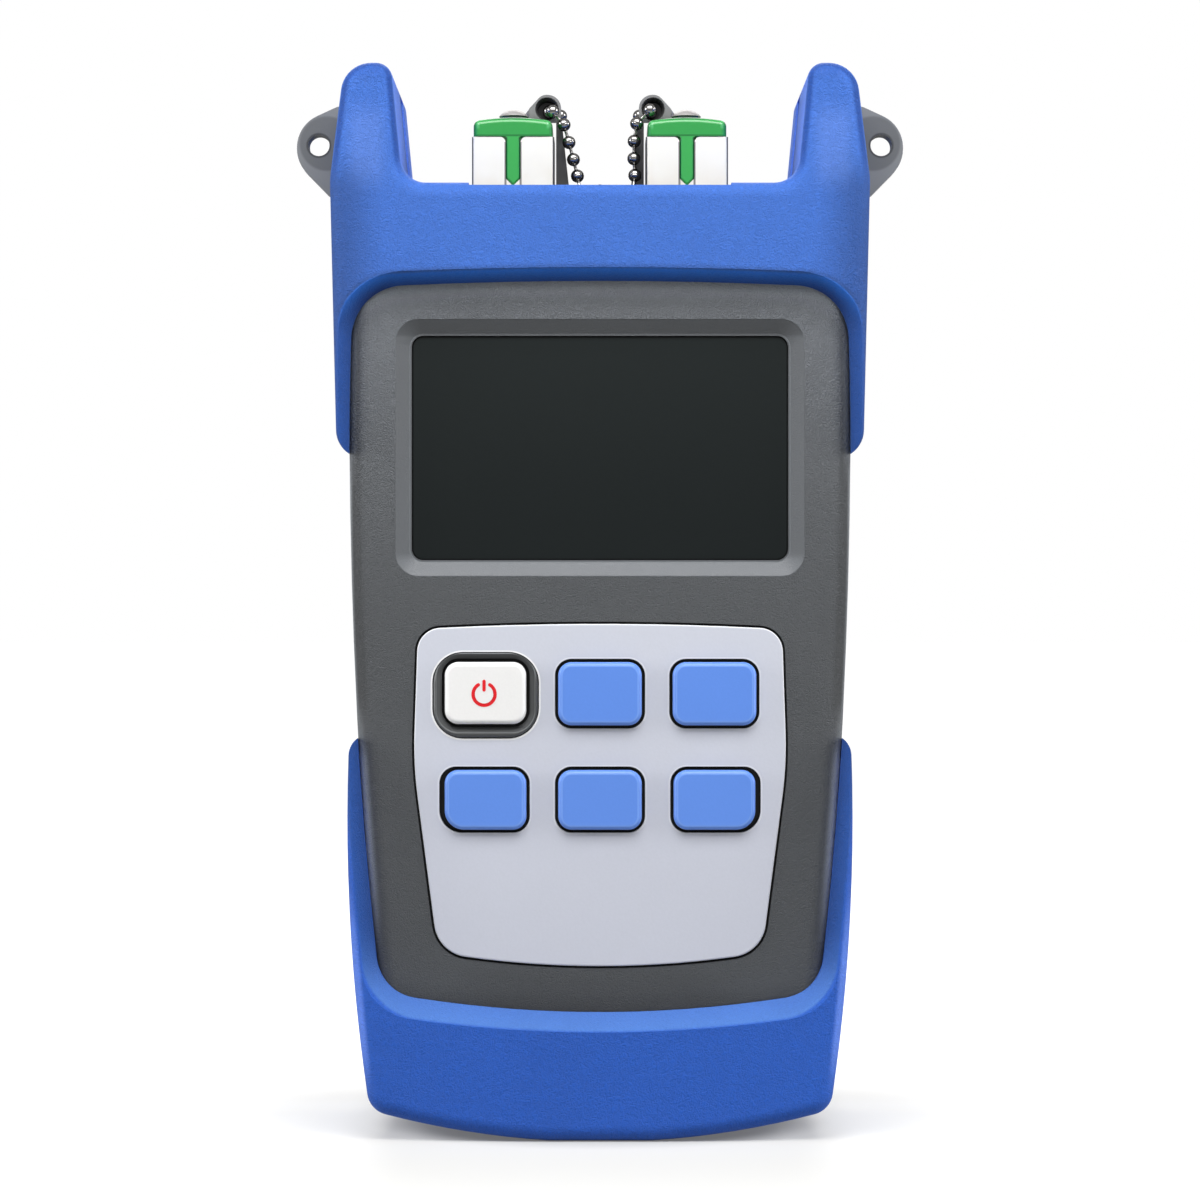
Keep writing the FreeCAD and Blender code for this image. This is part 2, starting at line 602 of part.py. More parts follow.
def lies_at(axis, *places):
    """Chooses edges that lie wholly at one of these coordinates of an axis."""
    numbers = [value(place) for place in places]

    def chosen(edge):
        box = edge.BoundBox
        low = getattr(box, f"{axis}Min")
        high = getattr(box, f"{axis}Max")
        return any(abs(low - n) < 1e-4 and abs(high - n) < 1e-4 for n in numbers)
    return chosen


def upright(edge):
    """Chooses straight edges along Z."""
    box = edge.BoundBox
    return box.XLength < 1e-4 and box.YLength < 1e-4


def keep(name, thing):
    """Records an object as the sub-part that goes to the file of that name."""
    thing.Label = name
    nodes[name] = thing
    return thing


# Casing

FACE = "case_depth / 2"
INNER = "(case_depth / 2 - case_wall)"
PANEL_TOP = "(case_top - case_wall - panel_gap)"
PANEL_FOOT = "(case_top - case_wall - panel_gap - panel_thick)"


def case_outline(grow="0"):
    """The casing seen from the front, grown outwards."""
    return symmetric([
        (f"case_foot_half + {grow}", f"case_foot - {grow}", f"case_foot_corner + {grow}", "case_side_bow"),
        (f"case_top_half + {grow}", f"case_top + {grow}", f"case_top_corner + {grow}"),
    ], foot_bow="case_foot_bow")


def key_corners(key, grow="0"):
    """Outline of one key, or of what surrounds it."""
    wide, high = f"({key['wide']}) + 2 * {grow}", f"({key['high']}) + 2 * {grow}"
    corners = box_corners(key["x"], key["y"], wide, high)
    return [(x, y, f"{radius} + {grow}") for (x, y, _), radius in zip(corners, key["corners"])]


def key_hole(key):
    """Outline of the hole for a key: the lower outer keys leave some more room on their outer side."""
    corners = key_corners(key, "key_gap")
    if "side" not in key:
        return corners
    outer = {-1: (0, 3), 1: (1, 2)}[key["side"]]
    return [(f"{x} + {key['side']} * side_key_room" if i in outer else x, y, radius)
            for i, (x, y, radius) in enumerate(corners)]


def make_keys():
    """Where each key is, how large it is, and the radii of its corners from the lower left round."""
    plain = ["key_corner"] * 4
    return {
        "power_key": {"x": "-key_pitch", "y": "key_row_upper + power_rise", "wide": "power_wide",
                      "high": "power_high", "corners": plain},
        "key_upper_middle": {"x": "0", "y": "key_row_upper", "wide": "key_wide", "high": "key_high",
                             "corners": plain},
        "key_upper_right": {"x": "key_pitch", "y": "key_row_upper", "wide": "key_wide", "high": "key_high",
                            "corners": plain},
        "key_lower_left": {"x": "-key_pitch", "y": "key_row_lower", "wide": "side_key_wide",
                           "high": "low_key_high", "side": -1,
                           "corners": ["side_key_corner", "key_corner", "key_corner", "key_corner"]},
        "key_lower_middle": {"x": "0", "y": "key_row_lower", "wide": "key_wide", "high": "low_key_high",
                             "corners": plain},
        "key_lower_right": {"x": "key_pitch", "y": "key_row_lower", "wide": "side_key_wide",
                            "high": "low_key_high", "side": 1,
                            "corners": ["key_corner", "side_key_corner", "key_corner", "key_corner"]},
    }


KEYS = make_keys()
COLLAR = ("-key_pitch", "key_row_upper - collar_drop")
PAD_FLOOR = "(case_depth / 2 - pad_recess)"
PAD_FACE = "(case_depth / 2 - pad_recess + pad_thick)"


def pad_outline(grow="0"):
    """The keypad plate seen from the front."""
    return symmetric([
        (f"pad_foot_half + {grow}", f"pad_foot - {grow}", f"pad_foot_corner + {grow}"),
        (f"pad_waist_half + {grow}", "pad_waist", "pad_waist_curve"),
        (f"pad_top_half + {grow}", f"pad_top + {grow}", f"pad_top_corner + {grow}"),
    ], top_bow="pad_top_bow", foot_bow="pad_foot_bow")


def case_screws():
    """Places of the four casing screws."""
    return [(f"{side} * {out}", up) for side in (-1, 1)
            for out, up in (("screw_low_out", "screw_low"), ("screw_high_out", "screw_high"))]


def board_screws():
    """Places of the four board screws."""
    return [(f"{side} * board_screw_out", up) for side in (-1, 1)
            for up in ("board_screw_low", "board_screw_high")]


def hatch(body, front, back):
    """Opens the top of a shell for the port panel, between two depths."""
    middle = f"(({front}) + ({back})) / 2"
    deep = f"({back}) - ({front})"
    prism(body, box_corners("0", middle, "2 * hatch_half", deep), "case_top - case_wall - cut_past",
          "case_top + cut_past", plane="XY", cut=True)


def panel_ledge(body, sign):
    """The ledge on a shell's inner face that the port panel rests on."""
    middle = f"{sign}({INNER} + wall_sink + hatch_half_deep) / 2"
    deep = f"{INNER} + wall_sink - hatch_half_deep"
    prism(body, box_corners("0", middle, "hatch_half", deep), f"{PANEL_FOOT} - seat_gap",
          f"{PANEL_FOOT} - ledge", plane="XY")


def front_case():
    """Front shell: display opening, recess and holes for the keys, and the posts inside."""
    body = new_body("front_case")
    split = "-case_split"
    outside, through = f"-{FACE} - cut_past", f"-{INNER} + cut_past"
    prism(body, case_outline(), split, f"-{FACE}")
    round_edges(body, "case_edge", lies_at("Y", f"-{FACE}"))
    prism(body, case_outline("(-case_wall)"), split, f"-{INNER}", cut=True)
    # bevelled display opening
    sill = ("display_wide + 2 * bezel_sill", "display_high + 2 * bezel_sill", "display_corner + bezel_sill")
    rim = (f"{sill[0]} + 2 * bezel_wide", f"{sill[1]} + 2 * bezel_wide", "bezel_corner")
    flare(body, box_corners("0", "display_mid", *rim), f"-{FACE}",
          box_corners("0", "display_mid", *sill), f"-({FACE} - bezel_deep)")
    prism(body, box_corners("0", "display_mid", "display_wide", "display_high", "display_corner"),
          outside, through, cut=True)
    # keypad recess and key holes
    prism(body, pad_outline("pad_gap"), outside, f"-{PAD_FLOOR}", cut=True)
    prisms(body, [key_hole(key) for key in KEYS.values()], outside, through, cut=True)
    # posts for the board and for the casing screws
    board_face = "-board_front - touch_gap"
    rods(body, [(x, y, "board_boss") for x, y in board_screws()], board_face, f"-{INNER} - wall_sink")
    rods(body, [(x, y, "small_screw + thread_fit") for x, y in board_screws()], board_face, through, cut=True)
    rods(body, [(x, y, "screw_post") for x, y in case_screws()], split, f"-{INNER} - wall_sink")
    rods(body, [(x, y, "screw_radius + thread_fit") for x, y in case_screws()], split,
         "-case_split - screw_bite", cut=True)
    # opening for the port panel, and the ledge that carries it
    hatch(body, "-hatch_half_deep", "-case_split + cut_past")
    panel_ledge(body, "-")
    return keep("front_case", body)


BAY_HALF = "(cell_pitch + cell_radius + bay_slack)"
CELL_FOOT = "(bay_foot + bay_spring)"
BAY_TOP = "(bay_foot + bay_spring + cell_body + cell_nub + bay_plate)"
CELL_MID = "(case_depth / 2 - door_thick - cell_gap - cell_radius)"
BAY_FLOOR = "(case_depth / 2 - door_thick - cell_gap - 2 * cell_radius - cell_play)"


def horn_rib(side, grow="0"):
    """The rib that stiffens a horn, seen from the front."""
    low, high = "core_in", "core_in + core_thick"
    first = f"{side} * ({low} - {grow})"
    second = f"{side} * ({high} + {grow})"
    left, right = (first, second) if side > 0 else (second, first)
    top = f"core_top + {grow}"
    foot = "case_top - case_wall - core_sink"
    return [(left, foot), (right, foot), (right, top, "core_round"), (left, top, "core_round")]


LUG_EYE = "(lug_reach - lug_eye_in)"


def lug(side, grow="0"):
    """A strap lug with its root inside the horn, seen from the front, anticlockwise."""
    tip = f"lug_round / (lug_reach - core_in - core_thick - lug_base) + {grow}"
    root, end = "core_in + lug_root", f"lug_reach + lug_point + {grow}"
    corners = [
        (root, f"lug_foot - {grow}"),
        ("core_in + lug_neck_low", f"lug_foot - {grow}", "lug_neck_round"),
        (end, f"lug_eye_up - lug_low - {grow}", tip),
        (end, f"lug_eye_up + lug_high + {grow}", tip),
        ("core_in + lug_neck_high", f"lug_top + {grow}", "lug_neck_round"),
        (root, f"lug_top + {grow}"),
    ]
    if side > 0:
        return corners
    return [(f"-({c[0]})", *c[1:]) for c in reversed(corners)]


LUG_FRONT = "(lug_mid - lug_thick / 2)"
LUG_BACK = "(lug_mid + lug_thick / 2)"


def rear_case():
    """Back shell: battery bay, screw posts, the ribs that stand up into the horns, and the strap lugs."""
    body = new_body("rear_case")
    split = "-case_split + seat_gap"
    through, outside = f"{INNER} - cut_past", f"{FACE} + cut_past"
    prism(body, case_outline(), split, FACE)
    round_edges(body, "case_edge", lies_at("Y", FACE))
    prism(body, case_outline("(-case_wall)"), split, INNER, cut=True)
    for side in (-1, 1):
        prism(body, horn_rib(side), f"{LUG_FRONT} - core_lead", "core_back")
        prism(body, lug(side), LUG_FRONT, LUG_BACK)
    rods(body, [(f"{side} * {LUG_EYE}", "lug_eye_up", "lug_hole") for side in (-1, 1)],
         f"{LUG_FRONT} - cut_past", f"{LUG_BACK} + cut_past", cut=True)
    # battery bay
    bay_mid = f"(bay_foot + {BAY_TOP}) / 2"
    bay_wide, bay_high = f"2 * {BAY_HALF}", f"({BAY_TOP} - bay_foot)"
    walls = box_corners("0", bay_mid, f"{bay_wide} + 2 * bay_wall", f"{bay_high} + 2 * bay_wall",
                        "bay_corner")
    prism(body, walls, f"{BAY_FLOOR} - bay_wall", f"{INNER} + wall_sink")
    prism(body, box_corners("0", bay_mid, bay_wide, bay_high), BAY_FLOOR, INNER, cut=True)
    door_mid = f"(bay_foot + door_step + {BAY_TOP}) / 2"
    prism(body, box_corners("0", door_mid, bay_wide, f"{bay_high} - door_step"), through, outside, cut=True)
    # posts and holes for the casing screws
    rods(body, [(x, y, "screw_post") for x, y in case_screws()], split, f"{INNER} + wall_sink")
    rods(body, [(x, y, "screw_radius + slip_fit") for x, y in case_screws()], f"{split} - cut_past", outside,
         cut=True)
    rods(body, [(x, y, "screw_head + screw_play") for x, y in case_screws()],
         f"{FACE} - screw_head_thick - screw_play", outside, cut=True)
    hatch(body, "-case_split - cut_past", "hatch_half_deep")
    panel_ledge(body, "")
    return keep("rear_case", body)


# Rubber boots

def view_outline(grow="0"):
    """The opening in the boots through which the casing shows."""
    return symmetric([
        (f"view_foot_half + {grow}", f"view_foot - {grow}", f"view_foot_corner + {grow}", "view_side_bow"),
        (f"view_top_half + {grow}", f"view_top + {grow}", f"view_top_corner + {grow}"),
    ], top_bow="view_top_bow", foot_bow="view_foot_bow")


def flared_view():
    """The same opening at the boots' faces."""
    return symmetric([
        ("view_foot_half + view_flare", "view_foot - view_flare_foot", "view_foot_corner + view_flare",
         "view_side_bow"),
        ("view_top_half + view_flare", "view_top + view_flare_top", "view_top_corner + view_flare"),
    ], top_bow="view_top_bow", foot_bow="view_foot_bow")


def cut_views(body):
    """Cuts the bevelled opening in the front and in the back of a boot."""
    face = "boot_depth / 2"
    land = f"({FACE} + view_land)"
    for sign in ("-", ""):
        prism(body, view_outline(), f"{sign}({FACE} - view_sink)", f"{sign}({face} + cut_past)", cut=True)
        flare(body, view_outline(), f"{sign}{land}", flared_view(), f"{sign}({face})")


def casing_core(name, horns):
    """The casing grown by the fit, to hollow a boot with."""
    body = new_body(name)
    prism(body, case_outline("boot_fit"), f"-({FACE} + boot_fit)", f"{FACE} + boot_fit")
    round_edges(body, "case_edge + boot_fit", lies_at("Y", f"-({FACE} + boot_fit)", f"{FACE} + boot_fit"))
    if horns:
        for side in (-1, 1):
            rib_front = f"{LUG_FRONT} - core_lead - boot_fit"
            prism(body, horn_rib(side, "boot_fit"), rib_front, "core_back + boot_fit")
            prism(body, lug(side, "boot_fit"), f"{LUG_FRONT} - boot_fit", f"{LUG_BACK} + boot_fit")
    return body


def hollowed(name, envelope, core):
    """The boot that is left when the casing is taken out of its outer form."""
    cut = doc.addObject("Part::Cut", name)
    cut.Base = envelope
    cut.Tool = core
    doc.recompute()
    return keep(name, cut)


def top_boot():
    """Top boot: two horns, the well between them, two arms and the strap slots."""
    body = new_body("top_boot_form")
    face = "boot_depth / 2"
    form = symmetric([
        ("upper_arm_half", "upper_arm_tip", "arm_corner"),
        ("shoulder_half", "shoulder", "shoulder_round"),
        ("horn_outer", "horn_top", "horn_outer_corner"),
        ("horn_inner", "horn_top", "horn_inner_corner"),
        ("horn_root", "boot_lip", "horn_root_corner"),
    ])
    prism(body, form, f"-({face})", face)
    round_edges(body, "boot_edge", lies_at("Y", f"-({face})", face))
    cut_views(body)
    well = box_corners("0", "0", "2 * well_half", "2 * well_half_deep", "well_corner")
    prism(body, well, "boot_lip + cut_past", "case_top - cut_past", plane="XY", cut=True)
    notch = box_corners("0", "boot_lip - notch_deep + cut_past", "2 * notch_half", "2 * cut_past")
    prism(body, notch, f"-({face}) - cut_past", f"{face} + cut_past", cut=True)
    # a groove down the inner side of each horn, which leans
    lean = "(horn_inner - horn_root) / (horn_top - boot_lip)"
    open_side = "horn_root - cut_past"
    foot, top = "boot_lip + horn_groove_foot", "horn_top - horn_groove_top"
    groove = [(open_side, foot), (f"horn_root + horn_groove_foot * {lean} + horn_groove_deep", foot),
              (f"horn_inner - horn_groove_top * {lean} + horn_groove_deep", top), (open_side, top)]
    for side in (-1, 1):
        corners = groove if side > 0 else [(f"-({x})", y) for x, y in reversed(groove)]
        prism(body, corners, "horn_groove_mid - horn_groove / 2", "horn_groove_mid + horn_groove / 2",
              cut=True)
    return hollowed("top_boot", body, casing_core("top_boot_core", True))


def bottom_boot():
    """Bottom boot: a cup with two arms and a flat sole."""
    body = new_body("bottom_boot_form")
    face = "boot_depth / 2"
    form = symmetric([
        ("sole_half", "0", "0", "sole_bow"),
        ("heel_half", "heel", "heel_corner", "lower_side_bow"),
        ("lower_arm_half", "lower_arm_tip", "lower_arm_corner"),
    ])
    prism(body, form, f"-({face})", face)
    round_edges(body, "boot_edge", lies_at("Y", f"-({face})", face))
    cut_views(body)
    return hollowed("bottom_boot", body, casing_core("bottom_boot_core", False))


# Display

def display():
    """Window, liquid crystal cell and backlight, one behind the other."""
    window = new_body("display_window")
    wide, high = "display_wide + 2 * window_rim", "display_high + 2 * window_rim"
    flange = box_corners("0", "display_mid", wide, high, "window_corner")
    prism(window, flange, f"-{INNER} + touch_gap", f"-{INNER} + window_thick")
    wide, high = "display_wide - 2 * window_gap", "display_high - 2 * window_gap"
    raised = box_corners("0", "display_mid", wide, high, "display_corner - window_gap")
    prism(window, raised, f"-{INNER} + window_thick / 2", f"-({FACE} - bezel_deep - window_drop)")
    keep("display_window", window)
    glass = new_body("lcd_glass")
    wide, high = "display_wide + 2 * glass_rim", "display_high + 2 * glass_rim"
    back = f"-{INNER} + window_thick + stack_gap"
    prism(glass, box_corners("0", "display_mid", wide, high), back, f"{back} + glass_thick")
    keep("lcd_glass", glass)
    light = new_body("lcd_backlight")
    wide, high = f"{wide} + 2 * backlight_rim", f"{high} + 2 * backlight_rim"
    prism(light, box_corners("0", "display_mid", wide, high, "backlight_corner"),
          f"{back} + glass_thick + stack_gap", "-board_front - stack_gap")
    keep("lcd_backlight", light)


# Keypad

def keypad_panel():
    """The light plate round the keys."""
    body = new_body("keypad_panel")
    prism(body, pad_outline(), f"-{PAD_FLOOR}", f"-{PAD_FACE}")
    round_edges(body, "pad_edge", lies_at("Y", f"-{PAD_FACE}"))
    holes = [key_hole(key) for name, key in KEYS.items() if name != "power_key"]
    holes.append(box_corners(*COLLAR, "collar_wide + 2 * collar_gap", "collar_high + 2 * collar_gap",
                             "collar_corner + collar_gap"))
    prisms(body, holes, f"-{PAD_FACE} - cut_past", f"-{PAD_FLOOR} + cut_past", cut=True)
    return keep("keypad_panel", body)


def power_key_collar():
    """The dark collar round the power key, hollowed towards the key."""
    body = new_body("power_key_collar")
    crest = f"-{PAD_FACE} - collar_proud"
    outer = box_corners(*COLLAR, "collar_wide", "collar_high", "collar_corner")
    prism(body, outer, f"-{PAD_FLOOR}", crest)
    round_edges(body, "collar_edge", lies_at("Y", crest))
    hole = key_corners(KEYS["power_key"], "key_gap")
    flare(body, key_corners(KEYS["power_key"], "(key_gap + collar_flare)"), crest, hole,
          f"-{PAD_FACE} + collar_hollow")
    prism(body, hole, f"{crest} - cut_past", f"-{PAD_FLOOR} + cut_past", cut=True)
    return keep("power_key_collar", body)


KEY_FACE = f"({PAD_FACE} + key_proud)"
KEY_BACK = f"({INNER} - key_seat - key_flange)"
STEM_END = "(board_front + switch_thick + switch_plunger + key_travel + key_seat)"


def key(name):
    """One key: its rounded face, the flange behind the shell and the stem to its switch."""
    body = new_body(name)
    place = KEYS[name]
    prism(body, key_corners(place), f"-{KEY_BACK}", f"-{KEY_FACE}")
    round_edges(body, "key_edge", lies_at("Y", f"-{KEY_FACE}"))
    prism(body, key_corners(place, "key_flange_wide"), f"-{KEY_BACK}", f"-({KEY_BACK} + key_flange)")
    stem = box_corners(place["x"], place["y"], "key_stem", "key_stem")
    prism(body, stem, f"-{KEY_BACK} - wall_sink", f"-{STEM_END}")
    return keep(name, body)


# Circuit board

BOARD_BACK = "(board_front - board_thick)"


def main_board():
    """The circuit board with its screw holes."""
    body = new_body("main_board")
    middle = "(board_foot + board_top) / 2"
    prism(body, box_corners("0", middle, "2 * board_half", "board_top - board_foot", "board_corner"),
          "-board_front", f"-{BOARD_BACK}")
    rods(body, [(x, y, "small_screw + slip_fit") for x, y in board_screws()], "-board_front - cut_past",
         f"-{BOARD_BACK} + cut_past", cut=True)
    return keep("main_board", body)


def fused(name, shapes):
    """One body is never enough for several separate solids, so these are grouped."""
    group = doc.addObject("Part::Feature", name)
    group.Shape = Part.makeCompound(shapes)
    return keep(name, group)


def block(x, y, z, wide, deep, high):
    """A box by its middle and its size, from expressions."""
    size = [value(e) for e in (wide, deep, high)]
    middle = [value(e) for e in (x, y, z)]
    corner = Vector(*[m - s / 2 for m, s in zip(middle, size)])
    return Part.makeBox(*size, corner)


def rod(x, y, z, radius, length, along=Vector(0, 1, 0)):
    """A cylinder from a point, by expressions."""
    start = Vector(*[value(e) for e in (x, y, z)])
    return Part.makeCylinder(value(radius), value(length), start, along)


def key_switches():
    """Six tactile switches under the keys."""
    shapes = []
    for place in KEYS.values():
        body = block(place["x"], "-board_front - switch_thick / 2", place["y"], "switch_wide",
                     "switch_thick", "switch_wide")
        plunger = rod(place["x"], "-board_front - switch_thick - switch_plunger", place["y"],
                      "plunger_radius", "switch_plunger")
        shapes.append(body.fuse(plunger).removeSplitter())
    return fused("key_switches", shapes)


def board_components():
    """Chips, connectors and capacitors on the back of the board, each (x, z, wide, high, thick)."""
    parts = [
        (-2, 106, 14, 14, 1.4),
        (-20, 104, 8, 6, 1.2),
        (8, 120, 6, 5, 1.2),
        (-24, 118, 9, 5, 2.6),
        (-10, 60, 10, 10, 1.4),
        (12, 52, 7, 5, 1.2),
        (22, 88, 10, 4, 2.6),
    ]
    back = f"-{BOARD_BACK}"
    shapes = [block(x, f"{back} + {thick} / 2", z, wide, thick, high)
              for x, z, wide, high, thick in parts]
    return fused("board_components", shapes)


def buzzer():
    """A round sounder on the back of the board."""
    body = new_body("buzzer")
    top = f"-{BOARD_BACK} + buzzer_thick"
    rods(body, [("buzzer_out", "buzzer_up", "buzzer_radius")], f"-{BOARD_BACK}", top)
    rods(body, [("buzzer_out", "buzzer_up", "buzzer_hole")], f"{top} + cut_past", f"{top} - buzzer_hole_deep",
         cut=True)
    return keep("buzzer", body)


def pan_screw(start, along, head_radius, head_thick, radius, length):
    """A screw: its head starts at a point and its shank goes on along a direction."""
    head = Part.makeCylinder(head_radius, head_thick, start, along)
    shank = Part.makeCylinder(radius, length, start + along * head_thick, along)
    wide, deep = value("recess_wide"), value("recess_deep")
    reach = head_radius * value("recess_share")
    slot = Part.makeBox(2 * reach, wide, 2 * deep, Vector(-reach, -wide / 2, -deep))
    cross = slot.fuse(Part.makeBox(wide, 2 * reach, 2 * deep, Vector(-wide / 2, -reach, -deep)))
    cross.Placement = Placement(start, Rotation(Vector(0, 0, 1), along))
    return head.fuse(shank).cut(cross).removeSplitter()


def screws():
    """The board, casing and adapter screws, each kind in one group."""
    small = [value(e) for e in ("small_head", "small_head_thick", "small_screw")]
    back = value(f"-{BOARD_BACK}")
    front = Vector(0, -1, 0)
    long = value("board_screw_long")
    shapes = [pan_screw(Vector(value(x), back + small[1], value(z)), front, *small, long)
              for x, z in board_screws()]
    fused("board_screws", shapes)
    head = [value(e) for e in ("screw_head", "screw_head_thick", "screw_radius")]
    seat = value(f"{FACE} - screw_play")
    length = seat - head[1] + value("case_split + screw_bite - screw_end_gap")
    shapes = [pan_screw(Vector(value(x), seat, value(z)), front, *head, length) for x, z in case_screws()]
    fused("case_screws", shapes)
    top = value(f"{PANEL_TOP} + flange_thick")
    long = value("adapter_screw_long")
    shapes = [pan_screw(Vector(value(f"{side} * port_out + {end} * flange_screw"), 0, top + small[1]),
                        Vector(0, 0, -1), *small, long) for side in (-1, 1) for end in (-1, 1)]
    fused("adapter_screws", shapes)


# Battery bay

def battery_door():
    """Battery door: hinge tabs below, a latch tongue with finger grooves above, and ribs inside."""
    body = new_body("battery_door")
    foot = "bay_foot + door_step + door_gap"
    top = f"{BAY_TOP} - door_gap"
    inner_face = f"{FACE} - door_thick"
    wide = f"2 * {BAY_HALF} - 2 * door_gap"
    middle = f"(({foot}) + ({top})) / 2"
    prism(body, box_corners("0", middle, wide, f"({top}) - ({foot})"), inner_face, FACE)
    under_wall = f"{INNER} - door_gap / 2"
    tabs = [f"{side} * cell_pitch / 2" for side in (-1, 1)]
    necks = [box_corners(x, f"{foot} + door_tab_root / 2", "door_tab_wide", "door_tab_root") for x in tabs]
    prisms(body, necks, inner_face, f"{under_wall} - door_tab_thick / 2")
    tongues = [box_corners(x, f"{foot} + (door_tab_root - door_tab_long) / 2", "door_tab_wide",
                           "door_tab_root + door_tab_long") for x in tabs]
    prisms(body, tongues, under_wall, f"{under_wall} - door_tab_thick")
    ribs = [box_corners(x, middle, "door_rib", f"({top}) - ({foot}) - door_rib_short") for x in tabs]
    prisms(body, ribs, f"{inner_face} + wall_sink", f"{inner_face} - door_rib")
    # the tongue is freed by a slot on each side
    slots = [box_corners(f"{side} * (latch_wide + latch_slot) / 2", f"{top} - latch_long / 2 + cut_past",
                         "latch_slot", "latch_long + 2 * cut_past") for side in (-1, 1)]
    prisms(body, slots, f"{inner_face} - door_rib - cut_past", f"{FACE} + cut_past", cut=True)
    grooves = [box_corners("0", f"{top} - grip_drop - {step} * grip_pitch", "latch_wide - 2 * grip_margin",
                           "grip_high") for step in range(4)]
    prisms(body, grooves, f"{FACE} - grip_deep", f"{FACE} + cut_past", cut=True)
    return keep("battery_door", body)


def batteries():
    """Three AA cells side by side, the middle one the other way up."""
    shapes = []
    for place in (-1, 0, 1):
        turned = place == 0
        foot = value(CELL_FOOT)
        body, nub = value("cell_body"), value("cell_nub")
        centre = Vector(value(f"{place} * cell_pitch"), value(CELL_MID), foot + (nub if turned else 0))
        up = Vector(0, 0, 1)
        can = Part.makeCylinder(value("cell_radius"), body, centre, up)
        start = centre - up * nub if turned else centre + up * body
        shapes.append(can.fuse(Part.makeCylinder(value("cell_nub_radius"), nub, start, up)).removeSplitter())
    return fused("batteries", shapes)


def spring_contact(x, floor, up):
    """A bent leaf that presses on a cell's end: floor is where it lies, up is its direction."""
    sheet_thick = value("contact_thick")
    reach = value("bay_spring - contact_play")
    middle = value(CELL_MID)
    points = [(-5.0, 0), (4.4, 0), (4.4, sheet_thick), (-3.6, sheet_thick), (0.4, reach - sheet_thick),
              (3.4, reach * 0.62), (3.7, reach * 0.62 + sheet_thick), (0.4, reach), (-5.0, sheet_thick)]
    wire = Part.makePolygon([Vector(0, middle + a, floor + up * b) for a, b in points + points[:1]])
    wide = value("contact_wide")
    strip = Part.Face(wire).extrude(Vector(wide, 0, 0))
    strip.translate(Vector(value(x) - wide / 2, 0, 0))
    return strip


def plate_contact(x, ceiling, down):
    """A plate with a raised button that meets a cell's terminal."""
    wide = value("contact_wide")
    thick = value("contact_thick")
    middle = value(CELL_MID)
    centre = Vector(value(x), middle, ceiling)
    plate = Part.makeBox(wide, wide, thick, centre + Vector(-wide / 2, -wide / 2, -thick if down < 0 else 0))
    reach = value("bay_plate - contact_play")
    button = Part.makeCylinder(value("contact_button"), reach, centre, Vector(0, 0, down))
    return plate.fuse(button).removeSplitter()


def contacts():
    """Spring contacts at the flat ends and plate contacts at the terminals."""
    floor = value("bay_foot + touch_gap")
    ceiling = value(f"{BAY_TOP} - touch_gap")
    fused("battery_springs", [spring_contact(f"{place} * cell_pitch", floor, 1) for place in (-1, 0, 1)])
    fused("battery_plates", [plate_contact(f"{place} * cell_pitch", ceiling, -1) for place in (-1, 0, 1)])


# Fibre ports

SIDES = {"left": -1, "right": 1}


def port_panel():
    """The panel that carries both adapters and the chain post."""
    body = new_body("port_panel")
    wide, deep = "2 * hatch_half + 2 * panel_margin", "2 * hatch_half_deep + 2 * panel_margin"
    prism(body, box_corners("0", "0", wide, deep), PANEL_FOOT, PANEL_TOP, plane="XY")
    wide, deep = "port_wide + 2 * port_fit", "port_deep + 2 * port_fit"
    openings = [box_corners(f"{side} * port_out", "0", wide, deep) for side in SIDES.values()]
    over, under = f"{PANEL_TOP} + cut_past", f"{PANEL_FOOT} - cut_past"
    prisms(body, openings, over, under, plane="XY", cut=True)
    holes = [(f"{side} * port_out + {end} * flange_screw", "0", "small_screw + slip_fit")
             for side in SIDES.values() for end in (-1, 1)]
    rods(body, holes, over, under, plane="XY", cut=True)
    return keep("port_panel", body)


